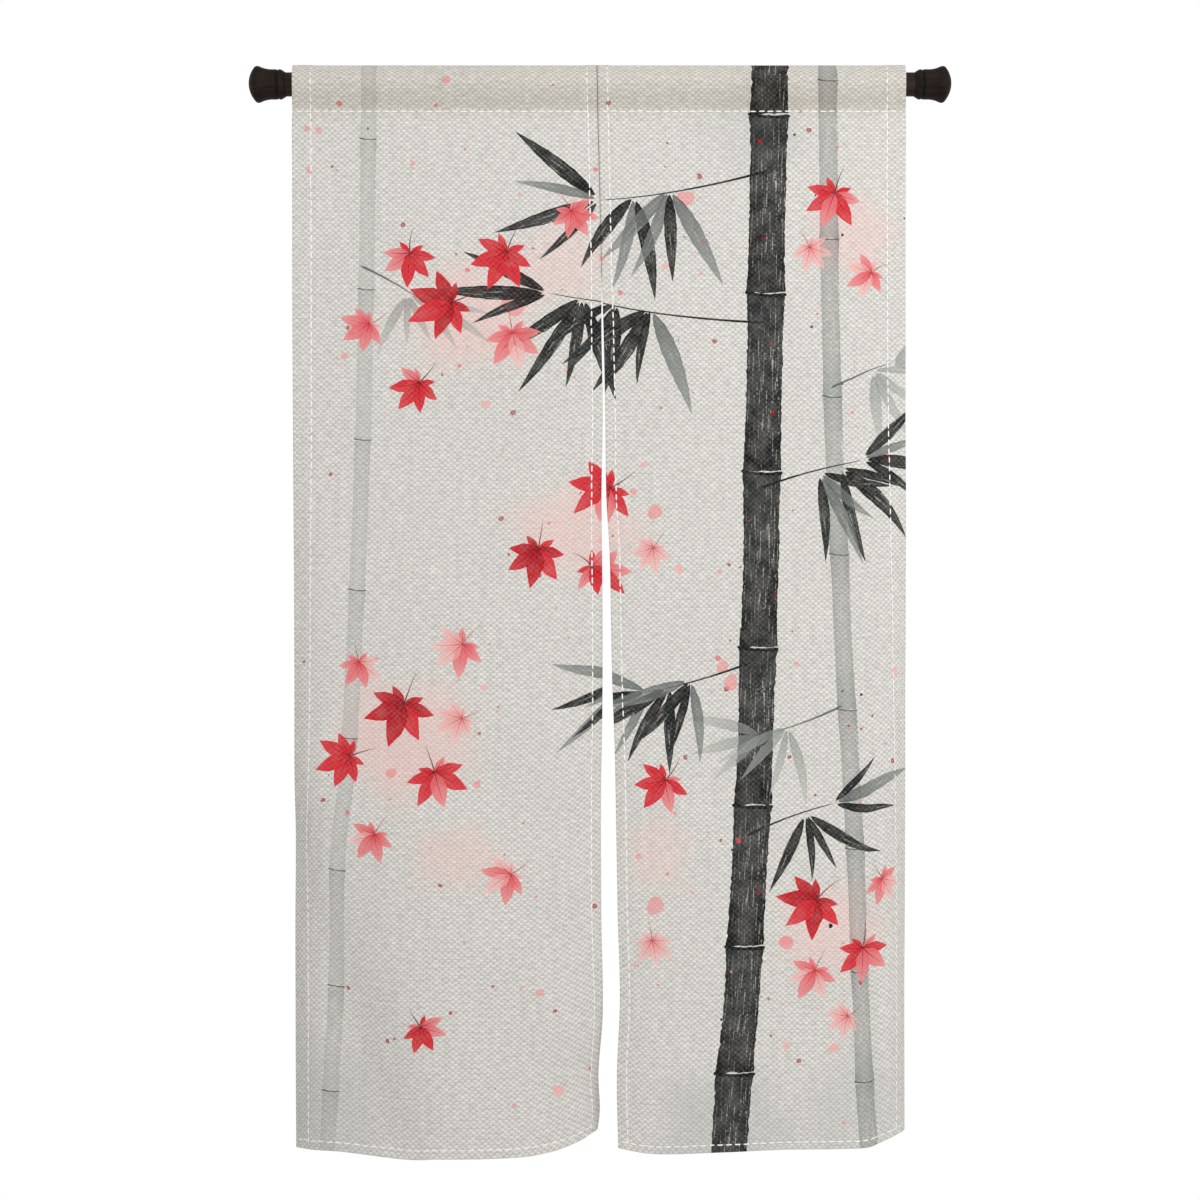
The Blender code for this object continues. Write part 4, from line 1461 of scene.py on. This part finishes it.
def wood_material(name, light, dark, roughness):
    """Dark stained wood under a thin satin coat: long grain along the rod, fine pores, gloss that
    varies a little, and painted shade darkening the finial's groove."""
    material, shader = new_material(name)
    straight = add_node(shader.id_data, "TexCoord").outputs["Object"]
    bent = noise_node(straight, 6.0, 1.0, output="Color")
    bent = vector_math("MULTIPLY", bent, (0.0, 0.012, 0.012))
    place = vector_math("ADD", straight, bent)
    grain = noise_node(place, (9.0, 210.0, 210.0), 4.0, 0.6)
    pores = noise_node(place, (55.0, 1500.0, 1500.0))
    tone = remapped(grain, 0.3, 0.72, 0.0, 1.0, "SMOOTHSTEP")
    pore = remapped(pores, 0.58, 0.72, 0.0, 1.0, "SMOOTHSTEP")
    color = mixed_color(tone, dark, light)
    color = mixed_color(times(pore, 0.6), color, PORE_COLOR)
    # Painted shade: the finial's groove is darkened towards its middle
    groove_x = ROD_HALF_LENGTH + FIT_GAP + GROOVE_FROM_ROD
    from_groove = math_node("SUBTRACT", size_of(split(straight, "X")), groove_x)
    groove = remapped(size_of(from_groove), 1.0 * MM, 3.2 * MM, 0.9, 0.0, "SMOOTHSTEP")
    color = mixed_color(groove, color, GROOVE_SHADE_COLOR)
    dull = remapped(grain, 0.3, 0.7, roughness - 0.05, roughness + 0.1)
    dull = plus(dull, times(pore, 0.15))
    height = math_node("SUBTRACT", times(grain, 0.4), pore)
    surface = {"Base Color": color, "Roughness": dull, "Specular IOR Level": 0.12}
    set_inputs(shader, surface | {"Normal": bumped(0.5, 0.08 * MM, height)})
    return material


# ---- stage

Lamp = namedtuple("Lamp", "name x y z watts")
LAMPS = rows(
    Lamp,
    ("key", 1.8, -2.3, -0.4, 31.5), ("front", 0.3, -2.8, 0.2, 9.5), ("side", -2.6, -1.2, -0.3, 8.5),
    ("fill", -1.8, -2.0, 0.9, 2.5), ("top", 0.3, -1.2, 1.5, 10.0),
)
LAMP_SIZE = 1.4
LIT_PLACE = (0.1, 0.0, -0.6)
SKY_LIGHT = 0.525
FLOOR_COLOR = (0.85, 0.85, 0.84, 1.0)


def add_area_light(lamp):
    light = bpy.data.lights.new(lamp.name, "AREA")
    light.shape, light.size, light.energy = "DISK", LAMP_SIZE, lamp.watts
    obj = add_object(lamp.name, light)
    obj.location = (lamp.x, lamp.y, lamp.z)
    direction = Vector(LIT_PLACE) - obj.location
    obj.rotation_euler = direction.to_track_quat("-Z", "Y").to_euler()


def build_world():
    """White where the camera sees it, and a dimmer white light for the cloth."""
    world = bpy.data.worlds.new("studio")
    world.use_nodes = True
    seen = add_node(world.node_tree, "LightPath").outputs["Is Camera Ray"]
    strength = joined("MapRange", {"Value": seen, "To Min": SKY_LIGHT, "To Max": 1.0})
    values = {"Color": (1.0, 1.0, 1.0, 1.0), "Strength": strength}
    set_inputs(world.node_tree.nodes["Background"], values)
    return world


def build_stage():
    """White surroundings, a pale floor and soft lights, the main one from the right."""
    scene = bpy.context.scene
    scene.view_settings.view_transform = "Standard"
    scene.world = build_world()
    for lamp in LAMPS:
        add_area_light(lamp)
    material, shader = new_material("floor")
    set_inputs(shader, {"Base Color": FLOOR_COLOR, "Roughness": 0.8})
    points = [(x, y, FLOOR_Z) for x, y in ((-4, -4), (4, -4), (4, 1.4), (-4, 1.4))]
    faces = np.array([(0, 1, 2), (0, 2, 3)])
    floor = mesh_object("floor", np.array(points), faces, material, smooth=False)


def build_camera():
    data = bpy.data.cameras.new("camera")
    data.sensor_width = SENSOR_WIDTH
    data.lens = SENSOR_WIDTH * CAMERA_DISTANCE / VIEW_WIDTH
    camera = add_object("camera", data)
    camera.location = (0.0, -CAMERA_DISTANCE, VIEW_CENTRE_Z)
    camera.rotation_euler = (math.radians(90), 0.0, 0.0)
    bpy.context.scene.camera = camera


def show_panel(panel, marks, cloth, thread):
    sheet, stitches = build_panel(panel, marks, cloth), build_stitches(panel, thread)
    for piece in (sheet, stitches):
        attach(piece, "root")
    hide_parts(panel.node)


def main():
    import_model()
    build_camera()
    build_stage()
    cloth, thread, marks = cloth_material(), thread_material(), print_marks()
    for panel in (LEFT_PANEL, RIGHT_PANEL):
        show_panel(panel, marks, cloth, thread)
    pole = wood_material("pole", linear(48, 34, 28), linear(25, 16, 12), 0.42)
    knob = wood_material("knob", linear(38, 26, 20), linear(18, 11, 8), 0.5)
    rod = build_rod(pole)
    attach(rod, "root")
    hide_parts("rod")
    for name, side in (("finial_left", -1), ("finial_right", 1)):
        finial = build_finial(name.replace("finial", "knob"), side, knob)
        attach(finial, "root")
        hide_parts(name)


main()
